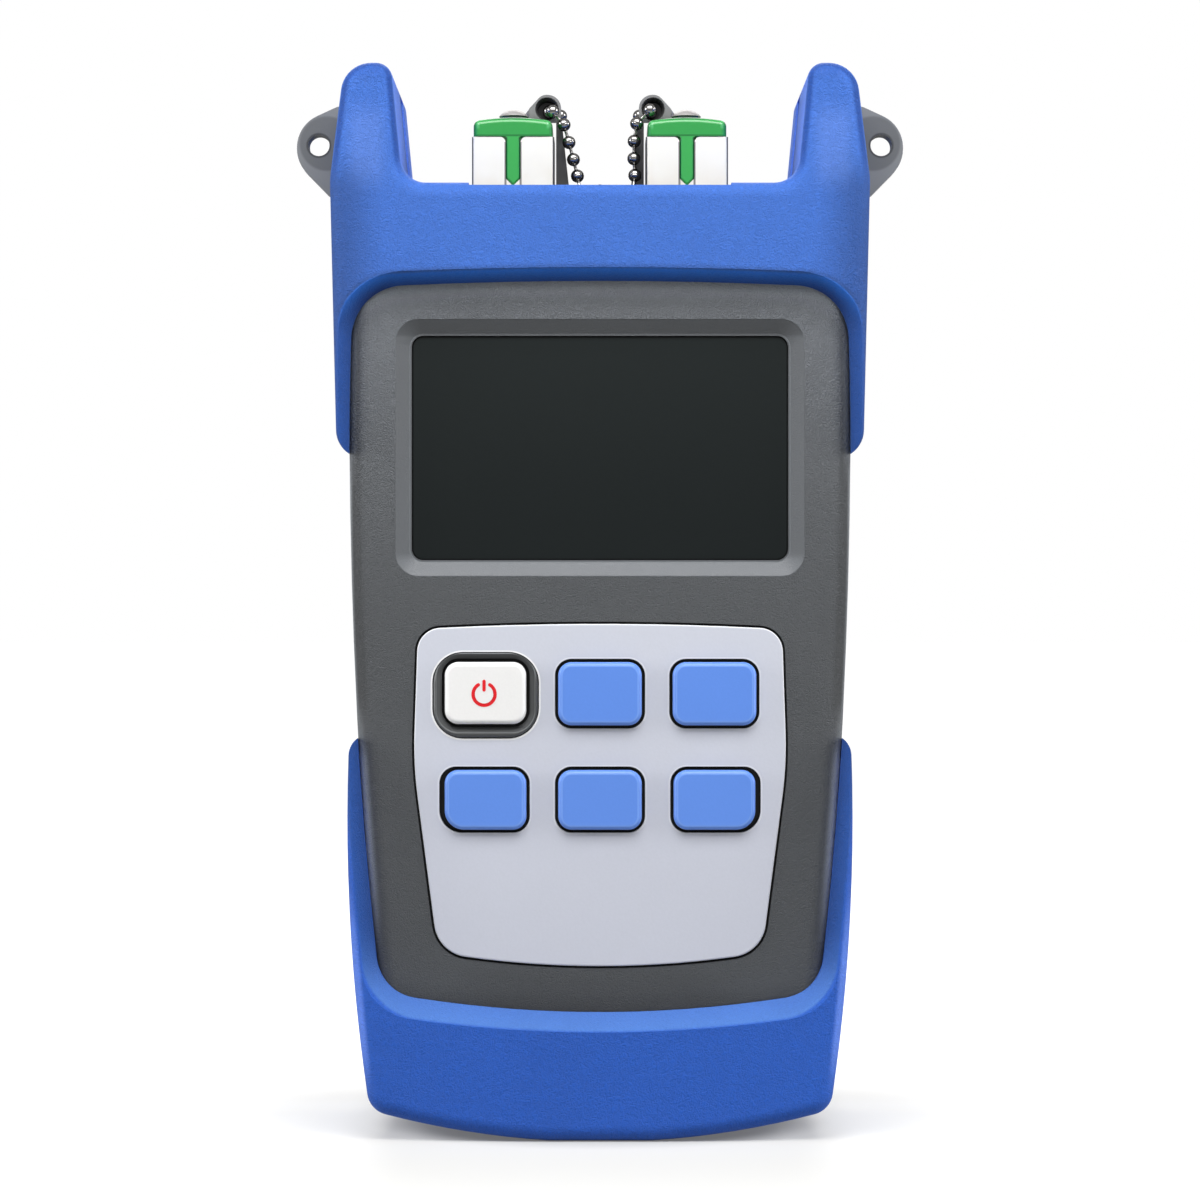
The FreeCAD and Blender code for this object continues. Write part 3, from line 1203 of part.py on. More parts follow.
def port_adapter(name, side):
    """A metal adapter shell: flange, upper and lower sockets, the keyway and the tube for the sleeve."""
    body = new_body(name)
    x = f"{side} * port_out"
    shell = box_corners(x, "0", "port_wide", "port_deep", "port_corner")
    prism(body, shell, "port_foot", "port_top", plane="XY")
    prism(body, box_corners(x, "0", "2 * flange_half", "port_deep", "flange_corner"), PANEL_TOP,
          f"{PANEL_TOP} + flange_thick", plane="XY")
    socket = box_corners(x, "0", "socket_wide", "socket_deep", "socket_corner")
    prism(body, socket, "port_top + cut_past", f"{PANEL_TOP} + socket_web / 2", plane="XY", cut=True)
    prism(body, socket, "port_foot - cut_past", f"{PANEL_TOP} - socket_web / 2", plane="XY", cut=True)
    half, far = "keyway_wide / 2", "(keyway_wide / 2 + 2 * keyway_shoulder)"
    keyway = [
        (f"{x}", "keyway_foot"),
        (f"{x} + {half}", f"keyway_foot + {half}"),
        (f"{x} + {half}", "port_top", "keyway_shoulder"),
        (f"{x} + {far}", "port_top"),
        (f"{x} + {far}", "port_top + cut_past"),
        (f"{x} - {far}", "port_top + cut_past"),
        (f"{x} - {far}", "port_top"),
        (f"{x} - {half}", "port_top", "keyway_shoulder"),
        (f"{x} - {half}", f"keyway_foot + {half}"),
    ]
    prism(body, keyway, "-port_deep / 2 - cut_past", "-socket_deep / 2 + cut_past", cut=True)
    # the tube for the sleeve, and the screw holes
    rods(body, [(x, "0", "holder_radius")], f"{PANEL_TOP} - holder_length / 2",
         f"{PANEL_TOP} + holder_length / 2", plane="XY")
    rods(body, [(x, "0", "sleeve_radius + seat_gap")], f"{PANEL_TOP} + holder_length",
         f"{PANEL_TOP} - holder_length", plane="XY", cut=True)
    rods(body, [(f"{x} + {end} * flange_screw", "0", "small_screw + slip_fit") for end in (-1, 1)],
         f"{PANEL_TOP} + flange_thick + cut_past", f"{PANEL_TOP} - cut_past", plane="XY", cut=True)
    return keep(name, body)


def sleeves():
    """The split ceramic sleeves that line up two ferrules."""
    shapes = []
    for side in SIDES.values():
        start = Vector(value(f"{side} * port_out"), 0, value(f"{PANEL_TOP} - sleeve_length / 2"))
        up = Vector(0, 0, 1)
        tube = Part.makeCylinder(value("sleeve_radius"), value("sleeve_length"), start, up)
        bore = Part.makeCylinder(value("sleeve_bore"), value("sleeve_length"), start, up)
        wide = value("sleeve_slit")
        slit = Part.makeBox(wide, value("sleeve_radius + cut_past"), value("sleeve_length"),
                            start - Vector(wide / 2, 0, 0))
        shapes.append(tube.cut(bore).cut(slit))
    return fused("alignment_sleeves", shapes)


def revolved(body, profile, x):
    """Turns a profile of (radius, height) about the upright line at x."""
    sketch = new_sketch(body, "XZ", "0")
    outline(sketch, profile)
    doc.recompute()
    feature = body.newObject("PartDesign::Revolution", f"{body.Name}_turned")
    feature.Profile = sketch
    feature.ReferenceAxis = (sketch, ["V_Axis"])
    feature.Angle = 360
    body.Tip = feature
    bind(body, "Placement.Base.x", x)
    doc.recompute()


def detector(name, side):
    """The detector behind a port: flange against the adapter, body, and the can of the photodiode."""
    body = new_body(name)
    top, end = "port_foot - seat_gap", "port_foot - detector_long"
    flange_foot = "port_foot - detector_flange_foot"
    ferrule, tip = "sleeve_bore - ferrule_fit", f"{PANEL_TOP} - ferrule_end"
    revolved(body, [
        ("0", end),
        ("detector_can", end),
        ("detector_can", f"{end} + detector_can_long"),
        ("detector_body", f"{end} + detector_can_long"),
        ("detector_body", flange_foot),
        ("detector_flange", flange_foot),
        ("detector_flange", top),
        (ferrule, top),
        (ferrule, tip),
        ("0", tip),
    ], f"{side} * port_out")
    return keep(name, body)


def tee_corners(x, inset):
    """The cap's key: a pointed bar under the head, with hollow corners, drawn in by an inset."""
    half = f"(keyway_wide / 2 - cap_key_gap - {inset})"
    point = f"keyway_foot + cap_key_gap + sqrt(2) * {inset}"
    far = f"({half} + 2 * cap_fillet)"
    return [
        (x, point),
        (f"{x} + {half}", f"{point} + {half}"),
        (f"{x} + {half}", "cap_foot", "cap_fillet"),
        (f"{x} + {far}", "cap_foot"),
        (f"{x} + {far}", "cap_foot + cap_key_root"),
        (f"{x} - {far}", "cap_foot + cap_key_root"),
        (f"{x} - {far}", "cap_foot"),
        (f"{x} - {half}", "cap_foot", "cap_fillet"),
        (f"{x} - {half}", f"{point} + {half}"),
    ]


CAP_CROWN = "(cap_top + cap_bow)"
STRAP_FOOT = f"({CAP_CROWN} + touch_gap)"


def dust_cap(name, side):
    """A green dust cap: bowed head, hollow plug and the key that fills the keyway."""
    body = new_body(name)
    x = f"{side} * port_out"
    half = "cap_wide / 2"
    head = [(f"{x} - {half}", "cap_foot"), (f"{x} + {half}", "cap_foot"),
            (f"{x} + {half}", "cap_top", "cap_corner", "cap_bow"),
            (f"{x} - {half}", "cap_top", "cap_corner")]
    prism(body, head, "-cap_deep / 2", "cap_deep / 2")
    round_edges(body, "cap_edge", upright)
    face = "-(port_deep / 2 + cap_key_proud)"
    bevel = f"{face} + cap_key_edge"
    flare(body, tee_corners(x, "cap_key_edge"), face, tee_corners(x, "0"), bevel, cut=False)
    prism(body, tee_corners(x, "0"), bevel, "-socket_deep / 2 + cap_plug_gap + wall_sink")
    plug = box_corners(x, "0", "socket_wide - 2 * cap_plug_gap", "socket_deep - 2 * cap_plug_gap",
                       "socket_corner")
    prism(body, plug, "cap_plug_foot", "cap_foot + wall_sink", plane="XY")
    rods(body, [(x, "0", "cap_bore")], "cap_plug_foot - cut_past", "cap_plug_foot + cap_bore_deep",
         plane="XY", cut=True)
    rods(body, [(x, "0", "rivet_shank + touch_gap")], f"{CAP_CROWN} + cut_past",
         f"{CAP_CROWN} + strap_thick - rivet_long - slip_fit", plane="XY", cut=True)
    return keep(name, body)


def cap_strap(name, side):
    """The strap under a cap's rivet: a round tab, a hood that the chain leaves by, and a leg."""
    body = new_body(name)
    inward = -side
    middle = f"{side} * port_out"
    hood_x, hood_z = f"{middle} + {inward} * strap_arch_out", "strap_arch_up"
    leg_x = f"{middle} + {inward} * (port_wide / 2 + strap_leg_gap)"
    front, back = "strap_front", "strap_front + strap_deep"
    top, tab_top = "strap_arch_up + strap_arch_radius", f"{STRAP_FOOT} + strap_thick"
    inner_side = f"{hood_x} + {inward} * strap_arch_radius"
    form = [
        (leg_x, "strap_leg_foot"),
        (f"{leg_x} + {inward} * strap_leg_wide", "strap_leg_foot"),
        (inner_side, f"{hood_z} - strap_drop", "strap_drop_round"),
        (inner_side, top, "strap_arch_radius - 2 * strap_flat"),
        (f"{hood_x} - {inward} * strap_crest", top, "strap_crest_round"),
        (f"{hood_x} - {inward} * strap_slope", STRAP_FOOT),
        (leg_x, STRAP_FOOT),
    ]
    prism(body, form[::inward], front, back)
    # room for the rivet's head, and the tab under it
    rods(body, [(middle, "0", "rivet_radius + rivet_room")], tab_top, f"{top} + cut_past", plane="XY",
         cut=True)
    rods(body, [(middle, "0", "strap_tab")], STRAP_FOOT, tab_top, plane="XY")
    # the hood has a pocket for the bead, and a hole in its back for the wire
    pocket = "(strap_arch_radius - strap_band)"
    near = box_corners(hood_x, hood_z, f"2 * {pocket}", f"2 * {pocket}", f"{pocket} - strap_flat")
    far = box_corners(hood_x, f"{hood_z} - strap_floor_drop", "2 * strap_floor", "2 * strap_floor",
                      "strap_floor - strap_flat")
    flare(body, near, f"{front} - touch_gap", far, f"{back} - strap_back")
    mouth = (f"{hood_x} + {inward} * strap_mouth_in", f"{hood_z} - strap_mouth_drop", "strap_mouth")
    rods(body, [mouth], f"{front} + strap_deep / 2", f"{back} + cut_past", cut=True)
    rods(body, [(middle, "0", "rivet_shank + touch_gap")], f"{STRAP_FOOT} + cut_past",
         f"{STRAP_FOOT} - cut_past", plane="XY", cut=True)
    return keep(name, body)


def cap_rivet(name, side):
    """The domed rivet that holds a strap on its cap."""
    body = new_body(name)
    seat = f"{STRAP_FOOT} + strap_thick + touch_gap"
    revolved(body, [
        ("0", f"{seat} - rivet_long"),
        ("rivet_shank", f"{seat} - rivet_long"),
        ("rivet_shank", seat),
        ("rivet_radius", seat, "0", "rivet_bow"),
        ("dome_flat", f"{seat} + rivet_rise"),
        ("0", f"{seat} + rivet_rise"),
    ], f"{side} * port_out")
    return keep(name, body)


# Bead chains. Each route is the middle of every bead, from the end behind the hood to the post.

ROUTES = {
    "left": [
        (-6.35, 3.5, 161.45), (-8.1, 0.9, 161.75), (-7.55, -1.5, 161.5), (-5.75, -1.45, 159.35),
        (-4.95, -1.6, 156.5), (-4.25, -1.8, 153.75), (-3.6, -2.0, 151.1), (-3.1, -2.7, 148.5),
        (-2.8, -4.4, 146.4), (-3.0, -6.2, 144.4), (-4.5, -7.8, 142.6), (-7.1, -8.4, 142.1),
        (-6.6, -11.0, 142.05), (-3.9, -11.3, 142.05), (-2.3, -9.1, 142.05),
    ],
    "right": [
        (6.35, 3.5, 161.45), (8.1, 0.9, 161.75), (7.95, -1.5, 161.7), (5.85, -1.45, 159.55),
        (5.45, -1.6, 156.7), (5.4, -1.8, 153.9), (5.55, -2.0, 151.2), (5.2, -2.7, 148.6),
        (4.4, -4.3, 146.6), (3.9, -6.2, 144.8), (4.9, -7.8, 142.8), (7.4, -8.5, 142.1),
        (6.7, -11.1, 142.05), (4.0, -11.4, 142.05), (2.3, -9.1, 142.05),
    ],
}


def polygon_wire(radius, height):
    """A regular polygon across the chain's line, at a height along it."""
    count = int(value("bead_sides"))
    angles = [2 * math.pi * k / count for k in range(count + 1)]
    return Part.makePolygon([Vector(radius * math.cos(a), radius * math.sin(a), height) for a in angles])


def bead_shape(centre, axis):
    """A pressed bead with flats, close to a ball, turned along the chain's line."""
    radius = value("bead")
    rings = [(0.40, -0.92), (0.96, -0.38), (0.96, 0.38), (0.40, 0.92)]
    ball = Part.makeLoft([polygon_wire(a * radius, b * radius) for a, b in rings], True, True)
    ball.Placement = Placement(centre, Rotation(Vector(0, 0, 1), axis))
    return ball


def wire_shape(start, along, length):
    """The wire between two beads, drawn with flats too."""
    wire = Part.Face(polygon_wire(value("link_wire"), 0)).extrude(Vector(0, 0, length))
    wire.Placement = Placement(start, Rotation(Vector(0, 0, 1), along))
    return wire


def chain(name, side):
    """A bead chain: every bead carries the wire that reaches the next one."""
    points = [Vector(*p) for p in ROUTES[side]]
    post = Vector(0, -value("anchor_ahead"), points[-1].z)
    shapes = []
    for i, point in enumerate(points):
        target = points[i + 1] if i + 1 < len(points) else post
        stop = value("bead + link_gap") if i + 1 < len(points) else value("anchor_radius + link_gap")
        before = points[i - 1] if i else point - (target - point)
        axis = (target - before).normalize()
        along = (target - point).normalize()
        wire = wire_shape(point, along, (target - point).Length - stop)
        shapes.append(bead_shape(point, axis).fuse(wire).removeSplitter())
    return fused(name, shapes)


def chain_anchor():
    """The post on the port panel that both chains end at."""
    body = new_body("chain_anchor")
    revolved(body, [
        ("0", PANEL_TOP),
        ("anchor_foot", PANEL_TOP),
        ("anchor_foot", f"{PANEL_TOP} + anchor_foot_thick"),
        ("anchor_radius", f"{PANEL_TOP} + anchor_foot_thick"),
        ("anchor_radius", "anchor_top - anchor_radius", "0", "anchor_bow"),
        ("dome_flat", "anchor_top"),
        ("0", "anchor_top"),
    ], "0")
    bind(body, "Placement.Base.y", "-anchor_ahead")
    doc.recompute()
    return keep("chain_anchor", body)


def build():
    """Every sub-part in turn."""
    front_case()
    rear_case()
    top_boot()
    bottom_boot()
    display()
    keypad_panel()
    power_key_collar()
    for name in KEYS:
        key(name)
    main_board()
    key_switches()
    board_components()
    buzzer()
    screws()
    battery_door()
    batteries()
    contacts()
    port_panel()
    sleeves()
    for name, side in SIDES.items():
        port_adapter(f"port_adapter_{name}", side)
        detector(f"detector_{name}", side)
        dust_cap(f"dust_cap_{name}", side)
        cap_strap(f"cap_strap_{name}", side)
        cap_rivet(f"cap_rivet_{name}", side)
        chain(f"cap_chain_{name}", name)
    chain_anchor()
    doc.recompute()


def check():
    """Stops if an object failed or a sub-part has no sound solid."""
    for thing in doc.Objects:
        bad = [word for word in thing.State if word in ("Invalid", "Error")]
        if bad:
            raise RuntimeError(f"{thing.Label} is {bad}")
    for name, thing in nodes.items():
        shape = thing.Shape
        if shape.isNull() or not shape.isValid() or not shape.Solids:
            raise RuntimeError(f"{name} has no sound solid")
        print(f"{name:20s} {len(shape.Solids):3d} solids {shape.Volume:10.1f} mm3")


def write():
    """One file for each sub-part."""
    os.makedirs("parts", exist_ok=True)
    for name, thing in nodes.items():
        thing.Shape.exportStep(f"parts/{name}.step")


build()
check()
write()
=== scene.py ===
# %% [markdown]
# # Optical power meter
# A handheld meter in two rubber boots, with two capped fibre ports between its horns. Everything here is in
# metres in the packed model's frame: +X to the reader's right, the keys and the display face -Y, +Z is up, and
# the meter stands on z = 0.
#
# ## The frame
# The packed CAD solids come in first. They could be modelled again as meshes, but they already have the real
# shapes and joints, so they are only dressed, and only the chains and the printed sign are made here.

# %% Load the frame
import math

import bpy
import numpy as np
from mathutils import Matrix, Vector


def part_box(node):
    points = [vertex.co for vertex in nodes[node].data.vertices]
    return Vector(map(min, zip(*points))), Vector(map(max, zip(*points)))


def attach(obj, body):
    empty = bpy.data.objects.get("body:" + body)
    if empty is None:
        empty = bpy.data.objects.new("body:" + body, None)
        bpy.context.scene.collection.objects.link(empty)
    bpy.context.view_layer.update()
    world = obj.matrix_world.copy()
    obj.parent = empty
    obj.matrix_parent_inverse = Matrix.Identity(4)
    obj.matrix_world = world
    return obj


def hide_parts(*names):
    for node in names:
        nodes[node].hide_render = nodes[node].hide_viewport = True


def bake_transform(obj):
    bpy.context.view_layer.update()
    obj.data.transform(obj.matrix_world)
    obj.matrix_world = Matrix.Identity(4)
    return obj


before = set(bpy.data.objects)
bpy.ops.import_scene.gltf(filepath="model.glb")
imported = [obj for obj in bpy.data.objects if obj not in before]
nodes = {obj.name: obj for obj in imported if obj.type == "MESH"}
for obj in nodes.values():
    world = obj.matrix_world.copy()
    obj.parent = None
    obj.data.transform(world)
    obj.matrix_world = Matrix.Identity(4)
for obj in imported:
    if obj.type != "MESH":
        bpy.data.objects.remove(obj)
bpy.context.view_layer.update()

# %% [markdown]
# ## Camera
# The photograph is a level front view from about half a metre, near enough to show the horns' inner flanks. A
# longer lens from further away would hide them. Its 1200 pixels are 6.5 pixels per millimetre at the boots'
# front faces, which gives the lens, and its middle is 83.5 mm above the floor.

# %% Camera
MM = 0.001
SCALE_AT_FRONT = 6.5
FRONT = -21 * MM
DISTANCE = 520 * MM
EYE = 83.5 * MM

camera_data = bpy.data.cameras.new("camera")
camera = bpy.data.objects.new("camera", camera_data)
camera.location = (0, FRONT - DISTANCE, EYE)
camera.rotation_euler = (math.radians(90), 0, 0)
camera_data.sensor_width = 36
camera_data.lens = 36 * DISTANCE / (1200 / SCALE_AT_FRONT * MM)
camera_data.clip_start = 0.01
bpy.context.scene.collection.objects.link(camera)
bpy.context.scene.camera = camera
print("lens", round(camera_data.lens, 2))

# %% [markdown]
# ## Shader arithmetic
# A finish is a formula of the place on the surface. It could be painted into an image, but an image needs an
# unwrapped mesh and has a fixed sharpness, while nodes take the CAD meshes as they are. Long chains of Math
# nodes are hard to read, so `Field` wraps a socket and turns Python's operators into nodes. A number that is
# the same everywhere stays on the socket that it belongs to.


# %% Shader arithmetic
def add_node(tree, kind, settings=None, inputs=None):
    """A node: first its settings, such as an operation, then the values or links of its inputs."""
    node = tree.nodes.new(kind)
    for key, setting in (settings or {}).items():
        setattr(node, key, setting)
    for key, item in (inputs or {}).items():
        if isinstance(item, Field):
            item = item.socket
        if isinstance(item, bpy.types.NodeSocket):
            tree.links.new(item, node.inputs[key])
        else:
            node.inputs[key].default_value = item
    return node


class Field:
    """A number that varies over a surface."""

    def __init__(self, tree, socket):
        self.tree = tree
        self.socket = socket

    def _math(self, operation, *values):
        node = add_node(self.tree, "ShaderNodeMath", {"operation": operation}, dict(enumerate(values)))
        return Field(self.tree, node.outputs[0])

    def __add__(self, other):
        return self._math("ADD", self, other)

    __radd__ = __add__

    def __sub__(self, other):
        return self._math("SUBTRACT", self, other)

    def __rsub__(self, other):
        return self._math("SUBTRACT", other, self)

    def __mul__(self, other):
        return self._math("MULTIPLY", self, other)

    __rmul__ = __mul__

    def __pow__(self, other):
        return self._math("POWER", self, other)

    def __neg__(self):
        return self._math("MULTIPLY", self, -1)

    def __abs__(self):
        return self._math("ABSOLUTE", self)

    def sin(self):
        return self._math("SINE", self)

    def most(self, other):
        """The larger of the two."""
        return self._math("MAXIMUM", self, other)

    def least(self, other):
        """The smaller of the two."""
        return self._math("MINIMUM", self, other)

    def above(self, edge, width):
        """0 below edge and 1 above it, turning smoothly over the width."""
        node = add_node(self.tree, "ShaderNodeMapRange", {"interpolation_type": "SMOOTHSTEP"},
                        {"Value": self, "From Min": edge - width / 2, "From Max": edge + width / 2})
        return Field(self.tree, node.outputs["Result"])


print("field operations", sum(callable(item) for item in vars(Field).values()))

# %% [markdown]
# ## A material in the making
# Every finish is one Principled shader whose colour, roughness and relief follow such fields. `Paint` holds the
# shader and the place on the surface in millimetres, because the formulas below use the meter's own sizes.
# `side` and `deep` are the distances from the middle, so one formula serves left and right, front and back.


# %% Paint
def opaque(colour):
    """A colour written as numbers gets its alpha, and a link stays a link."""
    return (*colour, 1) if isinstance(colour, tuple) else colour


def shade(colour, factor):
    """A colour made darker or lighter."""
    return tuple(min(c * factor, 1.0) for c in colour)


class Paint:
    """The coordinates, textures and colours on one Principled shader."""

    def __init__(self, name, roughness, metallic=0.0, **inputs):
        self.material = bpy.data.materials.new(name)
        self.material.use_nodes = True
        self.tree = self.material.node_tree
        self.shader = self.tree.nodes["Principled BSDF"]
        self.shader.inputs["Roughness"].default_value = roughness
        self.shader.inputs["Metallic"].default_value = metallic
        for key, number in inputs.items():
            self.shader.inputs[key.replace("_", " ")].default_value = number
        self.place = add_node(self.tree, "ShaderNodeTexCoord").outputs["Object"]
        split = add_node(self.tree, "ShaderNodeSeparateXYZ", inputs={0: self.place})
        self.x, self.y, self.z = (Field(self.tree, s) * 1000 for s in split.outputs)
        self.side = abs(self.x)
        self.deep = abs(self.y)

    def noise(self, scale, detail=2.0, stretch=None, warp=0.0):
        """Noise with so many cells to the metre, drawn out along an axis that is squeezed."""
        place = self.place
        if stretch:
            place = add_node(self.tree, "ShaderNodeVectorMath", {"operation": "MULTIPLY"},
                             {0: place, 1: stretch}).outputs[0]
        node = add_node(self.tree, "ShaderNodeTexNoise",
                        inputs={"Vector": place, "Scale": scale, "Detail": detail, "Distortion": warp})
        return Field(self.tree, node.outputs["Fac"])

    def mix(self, amount, first, second):
        """A colour between two, by a field."""
        node = add_node(self.tree, "ShaderNodeMix", {"data_type": "RGBA"},
                        {"Factor": amount, 6: opaque(first), 7: opaque(second)})
        return node.outputs[2]

    def scale(self, colour, factor):
        """A colour times a field."""
        node = add_node(self.tree, "ShaderNodeVectorMath", {"operation": "SCALE"}, {0: colour, "Scale": factor})
        return node.outputs[0]

    def colour(self, colour):
        """Links a colour to the shader."""
        self.tree.links.new(colour, self.shader.inputs["Base Color"])

    def roughness(self, field):
        """Links a field to the shader."""
        self.tree.links.new(field.socket, self.shader.inputs["Roughness"])

    def bump(self, height):
        """Relief: height is a field in millimetres."""
        node = add_node(self.tree, "ShaderNodeBump", inputs={"Distance": 1.0, "Height": height * 0.001})
        self.tree.links.new(node.outputs["Normal"], self.shader.inputs["Normal"])


print("dark and light of a grey:", shade((0.1, 0.1, 0.1), 0.5), shade((0.1, 0.1, 0.1), 2))

# %% [markdown]
# ## Dressing
# A CAD node keeps its mesh, which is loose triangles that already point the right way. Only its material slot
# is filled.

# %% Dressing
dressed = set()


def dress(material, *names):
    """Gives CAD nodes their material, and leaves their meshes alone."""
    for name in names:
        nodes[name].data.materials.clear()
        nodes[name].data.materials.append(material)
    dressed.update(names)
    print(material.name, "on", len(names), "nodes, with", len(material.node_tree.nodes), "shader nodes")


print("nodes to dress", len(nodes))

# %% [markdown]
# ## Distances to outlines
# Some finishes follow an outline, most of them painted light: the painted highlights round the key holes, the
# bezel's painted shade and light round the display, the painted shade on the bevel round the window in the boots.
# They could be masks painted on the mesh, but a CAD mesh has no points where they turn.
# A distance to the outline in the front view, in millimetres and negative inside, needs only the place. The
# keys' places and sizes come from the frame.


# %% Distances
def face_of(name, flange=0.0):
    """Middle and half size of a node in the front view, in millimetres: (x, z, half width, half height)."""
    low, high = (corner * 1000 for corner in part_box(name))
    half_wide, half_high = (high.x - low.x) / 2, (high.z - low.z) / 2
    return (low.x + high.x) / 2, (low.z + high.z) / 2, half_wide - flange, half_high - flange


def rounded(across, up, radius):
    """Distance to a corner outline: outside, the length of (across, up) past the corner's centre."""
    a, b = across + radius, up + radius
    outside = (a.most(0) ** 2 + b.most(0) ** 2) ** 0.5
    return outside + a.most(b).least(0) - radius


def box_distance(paint, place, radius, grow=0.0):
    """Distance to a rounded box in the front view, grown on all sides."""
    x, z, wide, high = place
    return rounded(abs(paint.x - x) - (wide + grow), abs(paint.z - z) - (high + grow), radius + grow)


def ring(distance, middle, width):
    """1 within a band of a distance, fading out on both sides."""
    return 1 - abs(distance - middle).above(width / 2, width * 0.5)


KEY_FLANGE = 1.1
KEY_RADIUS = 2.1
KEY_NAMES = [name for name in sorted(nodes) if name.startswith("key_") and name != "key_switches"]
KEYS = {name: face_of(name, KEY_FLANGE) for name in KEY_NAMES}
POWER_KEY = face_of("power_key", KEY_FLANGE)
COLLAR = face_of("power_key_collar")
print("keys", {name: [round(c, 2) for c in place] for name, place in KEYS.items()})

# %% [markdown]
# The lower outer keys have more room on their outer side, and there their holes turn with a larger radius. The
# nearest of the five keys counts.

# %% Distance to the blue keys
ROOMY = {"key_lower_left": -1, "key_lower_right": 1}
ROOMY_RADIUS = 0.9


def key_distance(paint, grow=0.0, room=0.0):
    """Distance to the nearest blue key: the least of the distances to the rounded boxes."""
    nearest = None
    for name, (x, z, wide, high) in KEYS.items():
        side = ROOMY.get(name, 0)
        radius = KEY_RADIUS + grow
        if side:
            lower_outer = ((paint.x - x) * side).above(0, 0.02) * (1 - (paint.z - z).above(0, 0.02))
            radius = lower_outer * ROOMY_RADIUS + radius
        middle, half = x + side * room / 2, wide + (room / 2 if side else 0) + grow
        here = rounded(abs(paint.x - middle) - half, abs(paint.z - z) - (high + grow), radius)
        nearest = here if nearest is None else nearest.least(here)
    return nearest


print("keys with a roomy hole", sorted(ROOMY))

# %% [markdown]
# The window in the boots is no rounded box: it widens upwards, its sides bow out, and its top and foot are
# shallow arcs. Its bevel opens out by a little more at the foot than at the top.

# %% Distance to the window in the boots
WINDOW_FOOT, WINDOW_TOP = 22.85, 131.8
FOOT_HALF, TOP_HALF, SIDE_BOW = 34.0, 38.3, 2.25
ARC_HALF, TOP_ARC, FOOT_ARC = 36, 1.1, 3.15
BEVEL = (2.2, 1.85, 2.75)
BEVEL_WIDTH = 2.25


def window_distance(paint, sideways=0.0, up=0.0, down=0.0):
    """Distance to the boots' window, or to an outline that is wider by what its bevel opens out.

    The half width runs in a straight line from foot to top, plus 4 bow s (1 - s) with s from 0 to 1 between
    them. The top and the foot hang by arc (1 - (x / half)^2).
    """
    share = (paint.z - WINDOW_FOOT) * (1 / (WINDOW_TOP - WINDOW_FOOT))
    half = share * (TOP_HALF - FOOT_HALF) + share * (1 - share) * (4 * SIDE_BOW) + (FOOT_HALF + sideways)
    hang = 1 - (paint.side * (1 / ARC_HALF)) ** 2
    over = paint.z - (hang * TOP_ARC + (WINDOW_TOP + up))
    under = (WINDOW_FOOT - down) - hang * FOOT_ARC - paint.z
    radius = paint.z.above(80, 4) * 1.5 + 7.0
    return rounded(paint.side - half, over.most(under), radius)


print("window", WINDOW_TOP - WINDOW_FOOT, "mm high")

# %% [markdown]
# ## Grain
# Moulds for rubber and casings are etched or spark-eroded, which leaves winding worms a fraction of a
# millimetre across. Real relief would take millions of faces, so it is a bump: noise is bent by its own
# distortion, pushed towards black and white, and mixed with a finer noise.

# %% Grain
# near-black painted shade for gaps, holes and walls that light doesn't reach
GAP_SHADE = (0.004, 0.004, 0.005)
GREY = (0.092, 0.099, 0.108)


def worm_grain(paint, scale, warp):
    """Winding grain with high contrast, 0 to 1."""
    return paint.noise(scale, 2.0, warp=warp).above(0.5, 0.42) * 0.75 + paint.noise(scale * 2.6, 2.0) * 0.25


def spark_grain(paint):
    """The casing's grain, about 0.4 mm across."""
    return worm_grain(paint, 2000, 2.4)


print("grey", [round(c, 3) for c in GREY])

# %% [markdown]
# ## Rubber of the boots
# The boots are soft blue rubber with a fine leather grain. In the photograph the lower boot is deeper in
# colour, partly as painted shade towards the foot. The horns get painted shade on their tops and where they round
# off, and a painted highlight in the middle, and thin edges get painted rim light. These tones could come from the
# mesh's own bends, but a CAD mesh has few points there, so each tone is placed by height, by distance from the
# middle, or by the distance to the window.

# %% Horns and edges of the boots
# the first two are the rubber's blues by height; the last three are a painted highlight, painted shade and painted
# rim light
BLUE_HIGH = (0.044, 0.143, 0.530)
BLUE_LOW = (0.021, 0.106, 0.515)
BLUE_HIGHLIGHT = (0.110, 0.225, 0.660)
BLUE_SHADE = (0.012, 0.064, 0.310)
BLUE_RIM_LIGHT = (0.130, 0.270, 0.900)
HORN_FOOT, HORN_MIDDLE, HORN_TURN = 150, 36, 164.4
BOOT_FACE = 20.6


def horn_painted_light(paint, tone, horn, outside):
    """Painted highlight mid-horn, painted shade at the tops and round-offs, painted rim light on the inner flank.
    """
    # painted highlight in the middle of each horn
    horn_highlight = ring(paint.z, 153.5, 11) * paint.deep.above(BOOT_FACE, 0.5)
    horn_highlight = horn_highlight * (1 - abs(paint.side - HORN_MIDDLE).above(2.6, 3))
    tone = paint.mix(horn_highlight * 0.55, tone, BLUE_HIGHLIGHT)
    inner = 1 - paint.side.above(HORN_MIDDLE, 1)
    # painted shade where the horns round off and on their tops
    turn = ring(paint.deep, 20.1, 1.0) * (1 - inner) + ring(paint.deep, 19.9, 1.1) * inner
    crown_shade = paint.z.above(HORN_TURN, 3) * 0.55
    tone = paint.mix((turn * horn * outside * 0.9).most(crown_shade), tone, BLUE_SHADE)
    # the flank's painted rim light has a painted shadow line along its middle
    flank_light = (1 - paint.deep.above(19.0, 0.4)) * inner * horn * (1 - ring(paint.y, 1.5, 3.5) * 0.8)
    return paint.mix(flank_light * 0.85, tone, BLUE_RIM_LIGHT)


